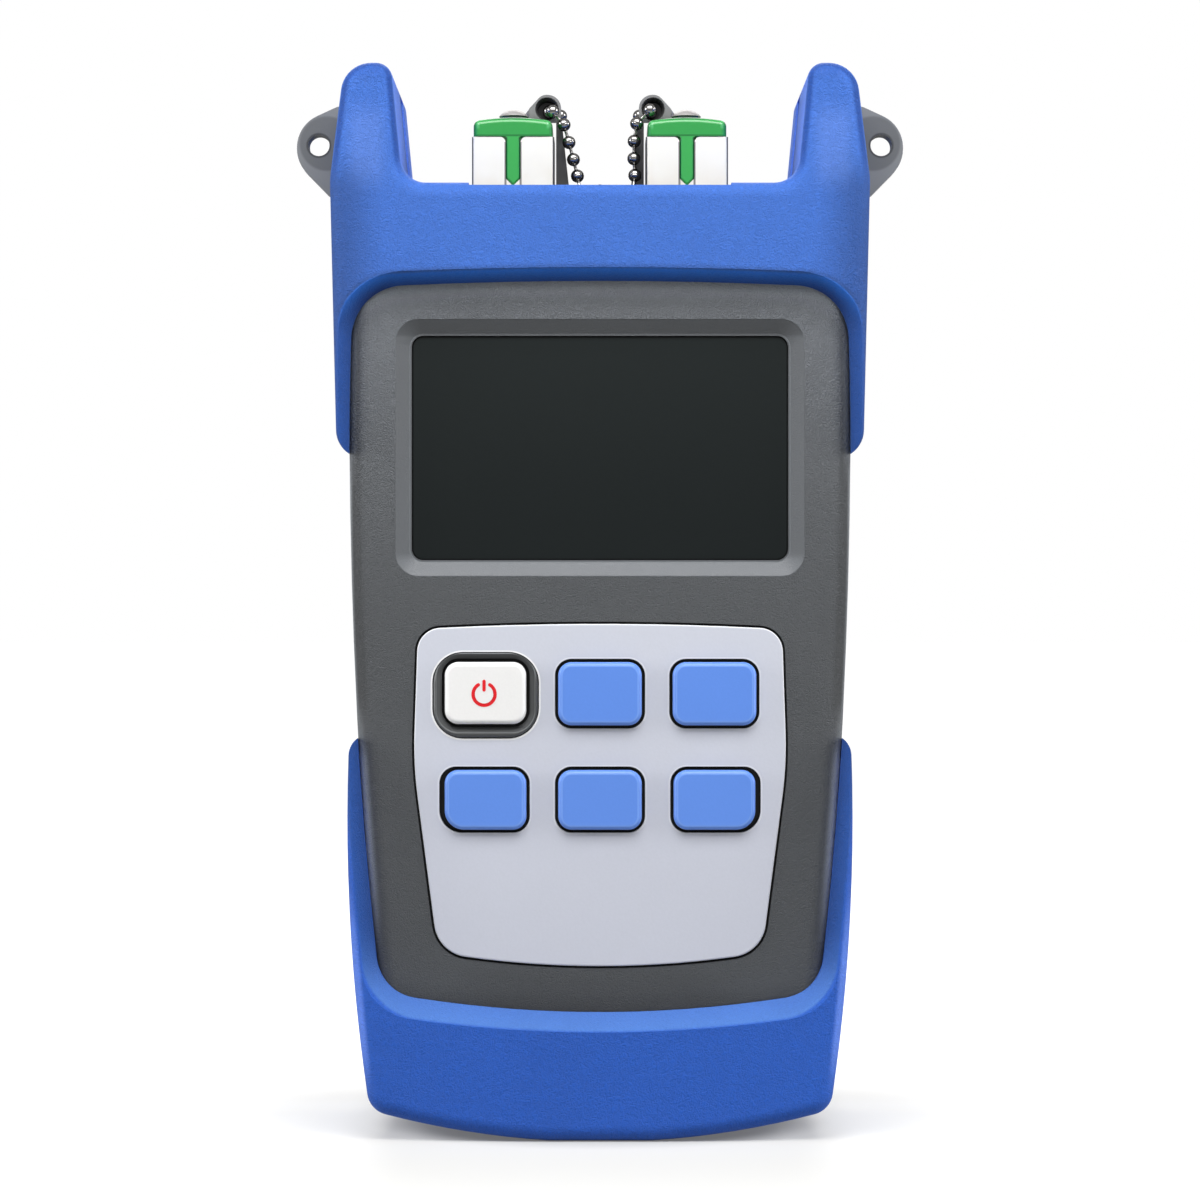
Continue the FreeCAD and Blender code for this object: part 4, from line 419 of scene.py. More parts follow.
def edge_painted_light(paint, tone, horn):
    """Painted shade on the upper boot towards its upright edges, and painted rim light on those of the lower one.
    """
    # painted shade towards the upper boot's upright edges
    edge_shade = paint.side.above(36.2, 8) * paint.z.above(108, 24) * (1 - horn) * 0.42
    tone = paint.scale(tone, 1.06 - edge_shade)
    # painted rim light on the lower boot's upright edges
    # the lower boot narrows downwards by a tenth of its height
    painted_rim = (paint.side - paint.z * 0.1 - 34.35).above(0, 0.8) * paint.deep.above(17.3, 0.8)
    painted_rim = painted_rim * paint.z.above(11, 8) * (1 - paint.z.above(36, 14))
    return paint.mix(painted_rim * 0.85, tone, BLUE_RIM_LIGHT)


print("blues", len({BLUE_HIGH, BLUE_LOW, BLUE_HIGHLIGHT, BLUE_SHADE, BLUE_RIM_LIGHT}))

# %% [markdown]
# The bevel round the window gets painted shade that darkens inwards. It is darkest at the top, where it faces
# down, and gets painted light at the foot, where it faces up.


# %% Bevel and boot rubber
def bevel_painted_light(paint, tone, flared, bevel):
    """Painted shade and light on the bevel between the window and its outer crease, by the share of the way
    inwards.
    """
    inward = (flared * (-1 / BEVEL_WIDTH)).most(0).least(1) ** 0.75
    # painted from light at the crease to dark inwards, at the top, the sides and the foot
    top = paint.mix(inward, (0.030, 0.220, 0.900), (0.003, 0.022, 0.140))
    sides = paint.mix(inward, (0.017, 0.094, 0.410), (0.009, 0.056, 0.255))
    foot = paint.mix(inward, (0.076, 0.208, 0.610), (0.068, 0.188, 0.600))
    high = paint.z.above(129, 7)
    shaded = paint.mix(high, sides, top)
    shaded = paint.mix(1 - paint.z.above(27, 14), shaded, foot)
    # painted shade: a soft dark line above the top crease
    lip = (1 - flared.above(0.45, 0.9)) * high * 0.3
    return paint.mix(bevel, paint.scale(tone, 1 - lip), shaded)


def leather_rubber():
    paint = Paint("boot_rubber", 0.5, Specular_IOR_Level=0.24, Sheen_Weight=0.03, Sheen_Roughness=0.5)
    drift = paint.noise(38, 3.0)
    grain = worm_grain(paint, 2300, 1.6)
    flared = window_distance(paint, *BEVEL)
    bevel = (1 - flared.above(-0.15, 0.5)) * paint.deep.above(17.8, 0.5)
    horn = paint.z.above(HORN_FOOT, 8)
    # darker and more saturated towards the foot, partly painted shade
    tone = paint.mix(paint.z.above(80, 60), BLUE_LOW, BLUE_HIGH)
    tone = horn_painted_light(paint, tone, horn, flared.above(0.6, 1))
    tone = edge_painted_light(paint, tone, horn)
    tone = bevel_painted_light(paint, tone, flared, bevel)
    wear = drift * 0.5 + grain * (1 - bevel * 0.5) * 0.5 - 0.5
    paint.colour(paint.scale(tone, wear * 0.5 + 1))
    paint.roughness(0.42 + grain * 0.12 + drift * 0.08)
    paint.bump(grain * (1 - bevel * 0.4) * 0.12)
    return paint.material


dress(leather_rubber(), "top_boot", "bottom_boot")

# %% [markdown]
# ## Plastic of the casing
# The casing, its battery door and the port panel are spark-eroded plastic. The door and the panel get the plain
# finish, a tone that wanders a little and a rough grain.


# %% Plain casing plastic
def eroded_plastic(name, base):
    paint = Paint(name, 0.52, Specular_IOR_Level=0.4)
    grain = spark_grain(paint)
    tone = (paint.noise(30, 3.0) * 0.5 + grain * 0.5).above(0.5, 0.6)
    paint.colour(paint.mix(tone, shade(base, 0.90), shade(base, 1.12)))
    paint.roughness(0.47 + grain * 0.12)
    paint.bump(grain * 0.05)
    return paint.material


dress(eroded_plastic("case_plastic", GREY), "battery_door")
dress(eroded_plastic("panel_plastic", (0.030, 0.031, 0.034)), "port_panel")

# %% [markdown]
# The two shells share one tone. The photograph's casing is lighter at its top and along its outer edge, which
# catches the light from the sides, and darker where it rounds off between the boots' arms and at its foot. More
# lamps could do that, but they would show in the display too, so this light and shade is painted into the tone.


# %% Tone of the casing
def casing_wear_and_painted_light(paint, grain):
    """The casing's grey times painted light by height and at edges, painted shade at foot and rounding, and wear.
    """
    inside = -window_distance(paint)
    # painted light: lighter towards the top and at the upper corners
    climb = paint.z.above(105, 60) * 0.68 + paint.z.above(122, 14) * 0.12 + 0.79
    corner = paint.z.above(110, 24) * paint.side.above(27, 14) * 0.24
    # painted highlight: beside the arms the edge is a broad light band, and between them a narrow one
    below_arms = 1 - paint.z.above(60, 6)
    arms = 1 - paint.z.above(66, 6) * (1 - paint.z.above(104, 8))
    edge = (1 - inside.above(1.0, 1.7)) * below_arms * paint.z.above(38, 22) * 4.6
    edge = edge + (1 - inside.above(0.8, 1.2)) * arms * 1.2
    edge = edge + (1 - inside.above(0.35, 0.5)) * (1 - arms) * 3.0
    # only on the front and the back, and neither at the top nor at the foot
    edge = edge * (1 - paint.z.above(127, 8)) * paint.z.above(31, 12) * paint.deep.above(14.6, 1.2)
    # painted light along the top border, painted shade along the foot and low in the middle
    border = 1 - inside.above(1.8, 3.4)
    top = border * paint.z.above(129, 5) * 1.15
    foot = border * (1 - paint.z.above(24, 5)) * 0.22
    low_middle = (1 - paint.z.above(26, 12)) * (1 - paint.side.above(20, 16)) * 0.3
    # painted shade where the edge rounds off
    turned = (1 - paint.deep.above(17.25, 0.5)) * paint.deep.above(15.2, 0.6) * paint.z.above(66, 6) * 0.36
    wear = (paint.noise(30, 3.0) * 0.4 + grain * 0.6 - 0.5) * 0.34
    return paint.scale(GREY, climb * (wear + 1) * (corner + edge + top - foot + 1) * (1 - turned - low_middle))


print("casing tone from", GREY)

# %% [markdown]
# On the front shell the bezel round the display is smoother. Its top faces down and gets painted shade, its sides
# are plain, and its foot faces up and gets painted light, with a painted highlight on its sill. The grooves round
# the keypad and the window are gaps, painted with the near-black of the shade that light doesn't reach.

# %% Front shell
FACE = -17.5
DISPLAY = (0.0, 107.1, 29.2, 17.4)
DISPLAY_RADIUS, BEZEL_WIDTH = 1.75, 2.7
PAD, PAD_RADIUS = (0.0, 53.5, 31.0, 29.0), 4.0


def front_shell():
    paint = Paint("front_shell", 0.5, Specular_IOR_Level=0.4)
    grain = spark_grain(paint)
    round_display = box_distance(paint, DISPLAY, DISPLAY_RADIUS)
    bezel = (1 - round_display.above(BEZEL_WIDTH, 0.1)) * paint.y.above(FACE + 0.05, 0.06)
    above_middle = paint.z - DISPLAY[1]
    upper = above_middle.above(17.3, 0.8)
    level = 1 - (abs(above_middle) - (DISPLAY[3] - 0.5)).above(0, 1.5)
    # the bezel is a lighter grey, with painted shade on its top and painted light on its foot
    tone = paint.mix(upper, shade(GREY, 1.42), shade(GREY, 0.95))
    tone = paint.mix(level, tone, shade(GREY, 1.12))
    # painted highlight on the sill
    tone = paint.mix(ring(round_display, 0.3, 0.14) * (1 - upper) * 0.5, tone, shade(GREY, 2.4))
    tone = paint.mix(bezel, casing_wear_and_painted_light(paint, grain), tone)
    # painted shade: near-black in the groove round the keypad and at the edge of the display's hole
    groove = (1 - box_distance(paint, PAD, PAD_RADIUS).above(0, 0.2)) * paint.y.above(FACE + 0.25, 0.3)
    hole = (1 - round_display.above(0.03, 0.05)) * paint.y.above(-16.3, 0.1)
    paint.colour(paint.mix(groove.most(hole), tone, GAP_SHADE))
    paint.roughness(0.47 + grain * 0.12 - bezel * 0.14)
    # the grain shows most at the top
    fade = paint.z.above(90, 130) * 0.7 + 0.45
    paint.bump(grain * (1 - bezel * 0.8) * fade * 0.16)
    return paint.material


dress(front_shell(), "front_case")

# %% [markdown]
# On the back shell the strap lugs are polished by the strap: smoother and a little lighter, with a painted
# highlight on the outer edge and painted shade in the eye. They are found by their distance from the eye's middle.

# %% Back shell
EYE_MIDDLE, EYE_RADIUS = (44.9, 156.1), 2.0
LUG_MIDDLE, LUG_RADIUS = (43.6, 156.4), 4.35


def from_point(paint, middle):
    """Distance in the front view from a point on each side: the root of x^2 + z^2."""
    return ((paint.side - middle[0]) ** 2 + (paint.z - middle[1]) ** 2) ** 0.5


def back_shell():
    paint = Paint("back_shell", 0.5, Specular_IOR_Level=0.4)
    grain = spark_grain(paint)
    lug = paint.side.above(40.2, 0.4) * paint.z.above(146.5, 0.5)
    # painted shade in the eye, and a painted highlight on the lug's outer edge
    past_eye = from_point(paint, EYE_MIDDLE).above(EYE_RADIUS, 0.25)
    tone = paint.mix(past_eye, (0.050, 0.052, 0.055), (0.122, 0.127, 0.132))
    tone = paint.mix(from_point(paint, LUG_MIDDLE).above(LUG_RADIUS, 0.5) * 0.4, tone, (0.30, 0.31, 0.32))
    paint.colour(paint.mix(lug, casing_wear_and_painted_light(paint, grain), tone))
    paint.roughness(0.47 + grain * 0.12 - lug * 0.12)
    paint.bump(grain * (1 - lug * 0.85) * 0.05)
    return paint.material


dress(back_shell(), "rear_case")

# %% [markdown]
# ## Satin mouldings
# Small mouldings come from smoother moulds. One finish serves them all: the colour drifts by a few per cent,
# with a fine grain of a few hundredths of a millimetre.


# %% Satin mouldings
def satin_finish(paint, colour, gloss, relief):
    """Fine satin grain over a colour, which may itself be mixed from fields."""
    drift = paint.noise(45, 3.0)
    grain = paint.noise(2400, 3.0)
    paint.colour(paint.scale(colour, (drift * 0.6 + grain * 0.4 - 0.5) * 0.14 + 1))
    paint.roughness(gloss - 0.03 + drift * 0.06)
    paint.bump(grain * relief)


def satin_plastic(name, base, gloss):
    paint = Paint(name, gloss)
    satin_finish(paint, base, gloss, 0.006)
    return paint.material


red_ink = satin_plastic("red_ink", (0.760, 0.010, 0.018), 0.35)
dress(satin_plastic("component_plastic", (0.020, 0.020, 0.022), 0.5), "key_switches", "board_components", "buzzer")
dress(satin_plastic("white_plastic", (0.80, 0.80, 0.78), 0.5), "lcd_backlight")
dress(satin_plastic("ceramic", (0.86, 0.86, 0.84), 0.2), "alignment_sleeves")

# %% [markdown]
# ## Keys
# The keys are moulded silicone. A painted highlight runs inside the edge of each face, where it rounds off, and
# the walls are painted with the dark of the hole's shade. The highlight is a ring of the distance to the key's own
# outline.

# %% Keys
WALL_TOP = -18.35


def key_material(name, base, painted_rim, distance, **inputs):
    """A key's colour, with a painted highlight inside the edge of its face and painted shade on its walls."""
    paint = Paint(name, 0.36, **inputs)
    # a painted highlight inside the face's edge, and painted shade on the walls
    tone = paint.mix(ring(distance(paint), -0.6, 0.22) * 0.4, base, painted_rim)
    tone = paint.mix(paint.y.above(WALL_TOP, 0.5), tone, GAP_SHADE)
    satin_finish(paint, tone, 0.36, 0.012)
    return paint.material


def power_key_distance(paint):
    return box_distance(paint, POWER_KEY, KEY_RADIUS)


dress(key_material("key_rubber", (0.116, 0.272, 0.795), (0.26, 0.44, 0.92), key_distance,
                   Specular_IOR_Level=0.55), *KEY_NAMES)
dress(key_material("white_rubber", (0.865, 0.862, 0.858), (0.93, 0.93, 0.93), power_key_distance), "power_key")

# %% [markdown]
# ## Keypad and collar
# The keypad is a thin plate, with painted light that makes it a little lighter towards its top. Its cut edges get
# painted highlights as fine lines: at its own edge, round the collar and round the key holes. The collar is a grey
# band with a painted highlight on its ridge, then a hollow, darker in its shade though its colour is painted
# lighter, then the painted shade of the gap round the key.


# %% Keypad and collar
def keypad_material():
    """The plate: painted highlights round the holes and on its edge's slope, and painted shade on its underside.
    """
    paint = Paint("keypad_plastic", 0.42)
    # painted light: lighter towards the top
    base = paint.mix(paint.z.above(64, 40), (0.590, 0.612, 0.700), (0.615, 0.638, 0.720))
    # painted highlights round the key holes, the collar and on the edge's slope
    round_keys = ring(key_distance(paint, 0.5, 0.35), 0.16, 0.2) * 0.35
    round_collar = ring(box_distance(paint, COLLAR, 4.6, 0.15), 0.12, 0.26)
    slope = paint.y.above(-17.76, 0.06) * 0.6
    tone = paint.mix(round_keys.most(round_collar).most(slope), base, (0.93, 0.935, 0.95))
    # painted shade on the underside
    tone = paint.mix(paint.y.above(-17.3, 0.2), tone, GAP_SHADE)
    satin_finish(paint, tone, 0.42, 0.012)
    return paint.material


def collar_material():
    """The collar's bands by distance to the power key: painted light in the hollow, highlight on ridge, shade in
    gap.
    """
    paint = Paint("collar_plastic", 0.34)
    out = power_key_distance(paint)
    # painted light in the hollow, against its real shade
    tone = paint.mix(out.above(1.15, 0.3), (0.120, 0.124, 0.127), (0.064, 0.067, 0.069))
    # painted highlight on the ridge
    tone = paint.mix(ring(out, 1.32, 0.2) * 0.6, tone, (0.22, 0.23, 0.235))
    # painted shade in the gap round the key
    tone = paint.mix(1 - out.above(0.34, 0.1), tone, GAP_SHADE)
    satin_finish(paint, tone, 0.34, 0.008)
    return paint.material


dress(keypad_material(), "keypad_panel")
dress(collar_material(), "power_key_collar")

# %% [markdown]
# ## Display
# The display is off: a smoked window over a dark cell. Glass that really lets light through would show the same
# dark at a far higher cost, so the window is a polished dark surface, with a faint cloud and a painted reflection
# that grows lighter upwards as the real one does under a soft box.


# %% Display
def display_window():
    paint = Paint("display_window", 0.16, Specular_IOR_Level=0.22)
    height = (paint.z - (DISPLAY[1] - DISPLAY[3])) * (1 / (2 * DISPLAY[3]))
    # a faint cloud, and a painted reflection of the soft box that grows lighter upwards
    cloud = paint.noise(40, 2.0) * 0.25 + height.above(0.55, 1.0) * 0.75
    paint.colour(paint.mix(cloud, (0.0100, 0.0130, 0.0135), (0.0165, 0.0205, 0.0208)))
    paint.roughness(0.14 + paint.noise(900, 2.0) * 0.06)
    return paint.material


def liquid_crystal():
    paint = Paint("liquid_crystal", 0.3)
    paint.colour(paint.mix(paint.noise(120, 2.0), (0.026, 0.032, 0.030), (0.036, 0.043, 0.040)))
    return paint.material


dress(display_window(), "display_window")
dress(liquid_crystal(), "lcd_glass")

# %% [markdown]
# ## Metals
# The screws, springs, detectors, rivets and beads are plated or plain metal with fine parallel scratches: noise
# that is squeezed along one axis. Polished beads mirror the white room. At a grazing angle a metal shader turns
# white on its own, so its edge tint is kept dark where the photograph shows dark edges.


# %% Metals
def brushed(name, base, gloss, stretch=None, relief=0.002, edge=0.6, metal=1.0):
    """Metal with a fine grain, drawn out into scratches along an axis that is squeezed."""
    paint = Paint(name, gloss, metal)
    paint.shader.inputs["Specular Tint"].default_value = (edge, edge, edge, 1)
    lines = paint.noise(5200, 3.0, stretch)
    blot = paint.noise(160, 3.0)
    paint.colour(paint.mix(blot * 0.6 + lines * 0.4, shade(base, 0.9), shade(base, 1.05)))
    paint.roughness(gloss - 0.06 + lines * 0.08 + blot * 0.08)
    paint.bump(lines * relief)
    return paint.material


bead_nickel = brushed("bead_nickel", (0.37, 0.36, 0.35), 0.12, relief=0.001, edge=0.02)
dress(brushed("screw_steel", (0.56, 0.56, 0.57), 0.34), "board_screws", "case_screws", "adapter_screws")
dress(brushed("spring_nickel", (0.70, 0.68, 0.64), 0.28, (1, 1, 0.04)), "battery_springs", "battery_plates")
dress(brushed("detector_metal", (0.62, 0.60, 0.56), 0.3), "detector_left", "detector_right")
dress(brushed("rivet_nickel", (0.66, 0.63, 0.62), 0.30, relief=0.0005, edge=0.3, metal=0.7),
      "cap_rivet_left", "cap_rivet_right")
dress(brushed("post_steel", (0.06, 0.06, 0.06), 0.3, relief=0.001, edge=0.02), "chain_anchor")

# %% [markdown]
# ## Port shells
# The square shells of the fibre ports are bright nickel, almost white in the photograph, with painted shade as a
# thin dark line at each edge and beside the keyway, and a faint warm cloud low down. A full mirror would show the
# blue boot and turn dark, so the shader is mostly a pale satin.

# %% Port shells
PORT_OUT = 13.8
SHELL_HALF = 6.30
KEYWAY_HALF, KEYWAY_TOP = 1.2, 156.2


def from_port(paint):
    """The sideways place relative to the middle of the nearest port."""
    return paint.side - PORT_OUT


def plated_shell():
    paint = Paint("plated_shell", 0.4, 0.1, Specular_IOR_Level=0.5)
    lines = paint.noise(4200, 3.0, (1, 1, 0.05))
    cloud = paint.noise(190, 3.0).above(0.45, 0.4) * (1 - paint.z.above(150.5, 9))
    tone = paint.mix(cloud, (0.970, 0.950, 0.870), (0.860, 0.800, 0.690))
    across = abs(from_port(paint))
    keyway = (1 - abs(across - KEYWAY_HALF).above(0.16, 0.12)) * (1 - paint.z.above(KEYWAY_TOP, 0.2))
    # painted shade: a thin dark line at each edge and beside the keyway
    paint.colour(paint.mix(across.above(SHELL_HALF, 0.1).most(keyway * 0.8), tone, (0.075, 0.075, 0.078)))
    paint.roughness(0.34 + lines * 0.12)
    paint.bump(lines * 0.002)
    return paint.material


dress(plated_shell(), "port_adapter_left", "port_adapter_right")

# %% [markdown]
# ## Caps and straps
# The caps are a glossy green moulding, with painted shade at the edges of the head and of the key, and a painted
# highlight at the head's corners. A strap is riveted on each, and ends in a hood with painted light on its rim and
# painted shade in its pocket.

# %% Caps and straps
HEAD_FOOT, HEAD_TOP = 157, 159.75
HOOD_OUT, HOOD_HEIGHT = -5.3, 162.15


def cap_material():
    """Green, with bands by the distance from the port's middle and by the height: painted light and shade."""
    paint = Paint("cap_plastic", 0.24, Coat_Weight=0.3)
    across = abs(from_port(paint))
    head = paint.z.above(HEAD_FOOT, 0.1)
    # painted light on the key below the head, against the shade of its recess
    base = paint.mix(head, (0.050, 0.430, 0.092), (0.038, 0.365, 0.076))
    # painted shade at the edges of the key and of the head
    key_side = ring(across, 1.02, 0.2) * (1 - paint.z.above(156.9, 0.3))
    ends = across.above(5.9, 0.6) * head
    painted_rim = (1 - abs(paint.z - 157.25).above(0.12, 0.1)).most(paint.z.above(HEAD_TOP, 0.35)) * 0.7
    tone = paint.mix(key_side.most(ends * 0.55).most(painted_rim * head), base, (0.012, 0.130, 0.032))
    # painted highlight at the head's corners
    corner_highlight = ring(across, 5.55, 0.45) * ring(paint.z, 158.9, 1.1) * 0.5
    tone = paint.mix(corner_highlight, tone, (0.16, 0.60, 0.24))
    satin_finish(paint, tone, 0.24, 0.008)
    return paint.material


def strap_material():
    """Dark, with painted light on the hood, painted shade in its pocket, and the leg's outer edge kept dark."""
    paint = Paint("strap_plastic", 0.3)
    hood = ((from_port(paint) - HOOD_OUT) ** 2 + (paint.z - HOOD_HEIGHT) ** 2) ** 0.5
    # painted light on the top of the hood
    lit = paint.z.above(160.5, 3) * hood.above(1.9, 0.15)
    tone = paint.mix(lit, (0.100, 0.100, 0.101), (0.230, 0.230, 0.233))
    # painted shade in the hood's pocket
    pocket = (1 - hood.above(1.55, 0.9)) * paint.y.above(0.5, 0.15)
    tone = paint.mix(pocket, tone, GAP_SHADE)
    leg = (1 - paint.z.above(160, 1)) * (1 - abs(from_port(paint) + 7.6).above(0.35, 0.25))
    tone = paint.mix(leg * 0.5, tone, (0.100, 0.100, 0.100))
    satin_finish(paint, tone, 0.3, 0.01)
    return paint.material


dress(cap_material(), "dust_cap_left", "dust_cap_right")
dress(strap_material(), "cap_strap_left", "cap_strap_right")

# %% [markdown]
# ## Board and cells
# Inside, the circuit board shows its tracks through green solder mask. Two sets of waves, one for each
# direction, are bent by noise and chosen by regions, which looks like routing without a drawing of it. The
# cells wear a dark sleeve with a copper-coloured end, turned about from cell to cell.


# %% Board and cells
def circuit_board():
    """Tracks where a sine wave across or along the board is high."""
    paint = Paint("circuit_board", 0.32, Coat_Weight=0.25)
    across = (paint.x * 2.6 + paint.noise(90, 0.0) * 3).sin()
    upright = (paint.z * 2.3 + paint.noise(70, 0.0) * 4).sin()
    region = paint.noise(60, 1.0).above(0.5, 0.02)
    track = (across * region + upright * (1 - region)).above(0.55, 0.2)
    paint.colour(paint.mix(track, (0.008, 0.110, 0.045), (0.020, 0.210, 0.085)))
    paint.bump(track * 0.012)
    return paint.material


def cell_jacket():
    """The outer cells have their end at the top, and the middle one at the foot."""
    paint = Paint("cell_jacket", 0.3, 0.35, Coat_Weight=0.4)
    outer = paint.side.above(7.5, 0.1)
    end = paint.z.above(77, 0.15) * outer + (1 - paint.z.above(53, 0.15)) * (1 - outer)
    paint.colour(paint.mix(end, (0.020, 0.021, 0.024), (0.52, 0.22, 0.085)))
    paint.roughness(0.26 + paint.noise(500, 2.0) * 0.08)
    return paint.material


dress(circuit_board(), "main_board")
dress(cell_jacket(), "batteries")
print("left bare:", sorted(set(nodes) - dressed))

# %% [markdown]
# ## Mesh pieces from arrays
# Beads and wires are turned shapes. Blender's Screw modifier could turn a profile too, but it leaves a seam to
# weld. Here the whole surface is one array: a profile of radius and height on a grid with the angle. An outline
# is closed by a lid of quads, each joining a pair of points to the pair opposite.


# %% Mesh tools
def lid(count, start=0):
    """Quads across a closed outline of an even number of points, from point i and i + 1 to their opposites."""
    left = np.arange(count // 2)
    right = count - 1 - left
    return np.stack([left[:-1], left[1:], right[1:], right[:-1]], 1) + start


def revolve(profile, sides=28):
    """Points (r cos a, r sin a, h) and quads of a profile of (r, h) turned about Z, with a lid at each end."""
    profile = np.asarray(profile, float)
    angle = np.arange(sides) * 2 * math.pi / sides
    circle = np.stack([np.cos(angle), np.sin(angle)], axis=1)
    xy = profile[:, 0, None, None] * circle[None]
    height = np.repeat(profile[:, 1, None, None], sides, axis=1)
    points = np.concatenate([xy, height], axis=2).reshape(-1, 3)
    row, column = np.meshgrid(np.arange(len(profile) - 1), np.arange(sides), indexing="ij")
    after = (column + 1) % sides
    wall = np.stack([row * sides + column, row * sides + after, (row + 1) * sides + after,
                     (row + 1) * sides + column], axis=2).reshape(-1, 4)
    return points, np.concatenate([wall, lid(sides)[:, ::-1], lid(sides, len(points) - sides)])


def along(points, origin, direction):
    """Turns Z to a direction and moves to an origin: the points times the turned axes, plus the origin."""
    z = np.asarray(direction, float) / np.linalg.norm(direction)
    x = np.cross([0.0, 1.0, 0.0] if abs(z[1]) < 0.9 else [1.0, 0.0, 0.0], z)
    x /= np.linalg.norm(x)
    return points @ np.stack([x, np.cross(z, x), z]) + np.asarray(origin, float)


def piece(name, surfaces, material, smooth=True):
    """One mesh object from several surfaces of points and quads."""
    offset = np.cumsum([0] + [len(points) for points, _ in surfaces[:-1]])
    points = np.concatenate([points for points, _ in surfaces])
    quads = np.concatenate([quads + start for (_, quads), start in zip(surfaces, offset)])
    mesh = bpy.data.meshes.new(name)
    mesh.from_pydata(points.tolist(), [], quads.tolist())
    mesh.polygons.foreach_set("use_smooth", np.full(len(quads), smooth))
    mesh.materials.append(material)
    mesh.update()
    thing = bpy.data.objects.new(name, mesh)
    bpy.context.scene.collection.objects.link(thing)
    return thing


print("a lid of 8 points has", len(lid(8)), "quads")

# %% [markdown]
# ## Beads and wires
# Each bead of the chain is pressed from sheet: almost a ball, with a seam round its waist and a dimple at each
# end, where the dumb-bell wire goes in. A plain UV sphere would miss both, so they are written into the profile.

# %% Bead and wire
BEAD = 1.05 * MM
WIRE = 0.27 * MM
POLE = 0.002 * MM


def bead_surface(centre, direction):
    """A bead: radius cos a less a narrow bell at the seam, height sin a less a dimple near the ends."""
    angle = np.linspace(-0.5, 0.5, 33) * math.pi
    seam = 1 - 0.045 * np.exp(-((angle / 0.055) ** 2))
    dimple = np.clip((np.abs(angle) - 1.25) / 0.32, 0, 1) ** 1.5 * 0.16
    radius = np.maximum(BEAD * np.cos(angle) * seam, POLE)
    profile = np.stack([radius, BEAD * np.sin(angle) * (1 - dimple)], axis=1)
    points, quads = revolve(profile)
    return along(points, centre, direction), quads


def wire_surface(start, end):
    """The wire between two beads: its radius has a slight waist, a half sine wave."""
    start, end = np.asarray(start, float), np.asarray(end, float)
    length = np.linalg.norm(end - start)
    step = np.linspace(0, 1, 9)
    thick = WIRE * (1 - 0.12 * np.sin(step * math.pi))
    profile = np.stack([thick, step * length], axis=1)
    profile = np.concatenate([[[POLE, 0.0]], profile, [[POLE, length]]])
    points, quads = revolve(profile, 14)
    return along(points, start, end - start), quads


print("points of a bead", len(bead_surface((0, 0, 0), (0, 0, 1))[0]))

# %% [markdown] ## The chains and the caps The upper strand rides with its cap. The slack in the well
# can't: its last bead is held by the post. A simulated chain would need frames, and this model has none, so the
# slack beads and wires stay where they are made, and the share by which each would follow the cap is worked out
# but not used.

# %% Shares of the cap's movement
# share of the cap's movement for each bead from the first slack one on, and for the wires' outer ends
SHARES = (0.97, 0.88, 0.70, 0.50, 0.30, 0.12)
ALL_BUT, HARDLY = 0.995, 0.005


def unsmooth(share):
    """The place between 0 and 1 whose smooth step 3 p^2 - 2 p^3 is the share."""
    return 0.5 - math.sin(math.asin(1 - 2 * share) / 3)


def follow(thing, place, share, next_place=None, next_share=None):
    """Bakes a slack piece's transform; the reach by a share, or shares between two places, is computed but unused.
    """
    place = np.asarray(place, float)
    if next_place is None:
        reach = np.array([0.0, 0.0, 1.0])
    else:
        here, there = unsmooth(share), unsmooth(next_share)
        reach = (place - np.asarray(next_place, float)) / (here - there)
    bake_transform(thing)


print("half of the way is at", unsmooth(0.5))

# %% [markdown]
# ## Bead chains
# Each chain leaves the hood's pocket, hangs beside the port and lies in the well behind the lip. The routes
# give the beads' places in millimetres, from the photograph above the lip and guessed below it.

# %% Bead chains
POST = (0.0, -9.0 * MM, 142.05 * MM)
POST_RADIUS = 0.9 * MM
ROUTES = {
    "left": [
        (-6.35, 3.5, 161.45), (-8.1, 0.9, 161.75), (-7.55, -1.5, 161.5), (-5.75, -1.45, 159.35),
        (-4.95, -1.6, 156.5), (-4.25, -1.8, 153.75), (-3.6, -2.0, 151.1), (-3.1, -2.7, 148.5),
        (-2.8, -4.4, 146.4), (-3.0, -6.2, 144.4), (-4.5, -7.8, 142.6), (-7.1, -8.4, 142.1),
        (-6.6, -11.0, 142.05), (-3.9, -11.3, 142.05), (-2.3, -9.1, 142.05),
    ],
    "right": [
        (6.35, 3.5, 161.45), (8.1, 0.9, 161.75), (7.95, -1.5, 161.7), (5.85, -1.45, 159.55),
        (5.45, -1.6, 156.7), (5.4, -1.8, 153.9), (5.55, -2.0, 151.2), (5.2, -2.7, 148.6),
        (4.4, -4.3, 146.6), (3.9, -6.2, 144.8), (4.9, -7.8, 142.8), (7.4, -8.5, 142.1),
        (6.7, -11.1, 142.05), (4.0, -11.4, 142.05), (2.3, -9.1, 142.05),
    ],
}
BEADS = len(ROUTES["left"])
FIRST_SLACK = BEADS - len(SHARES)


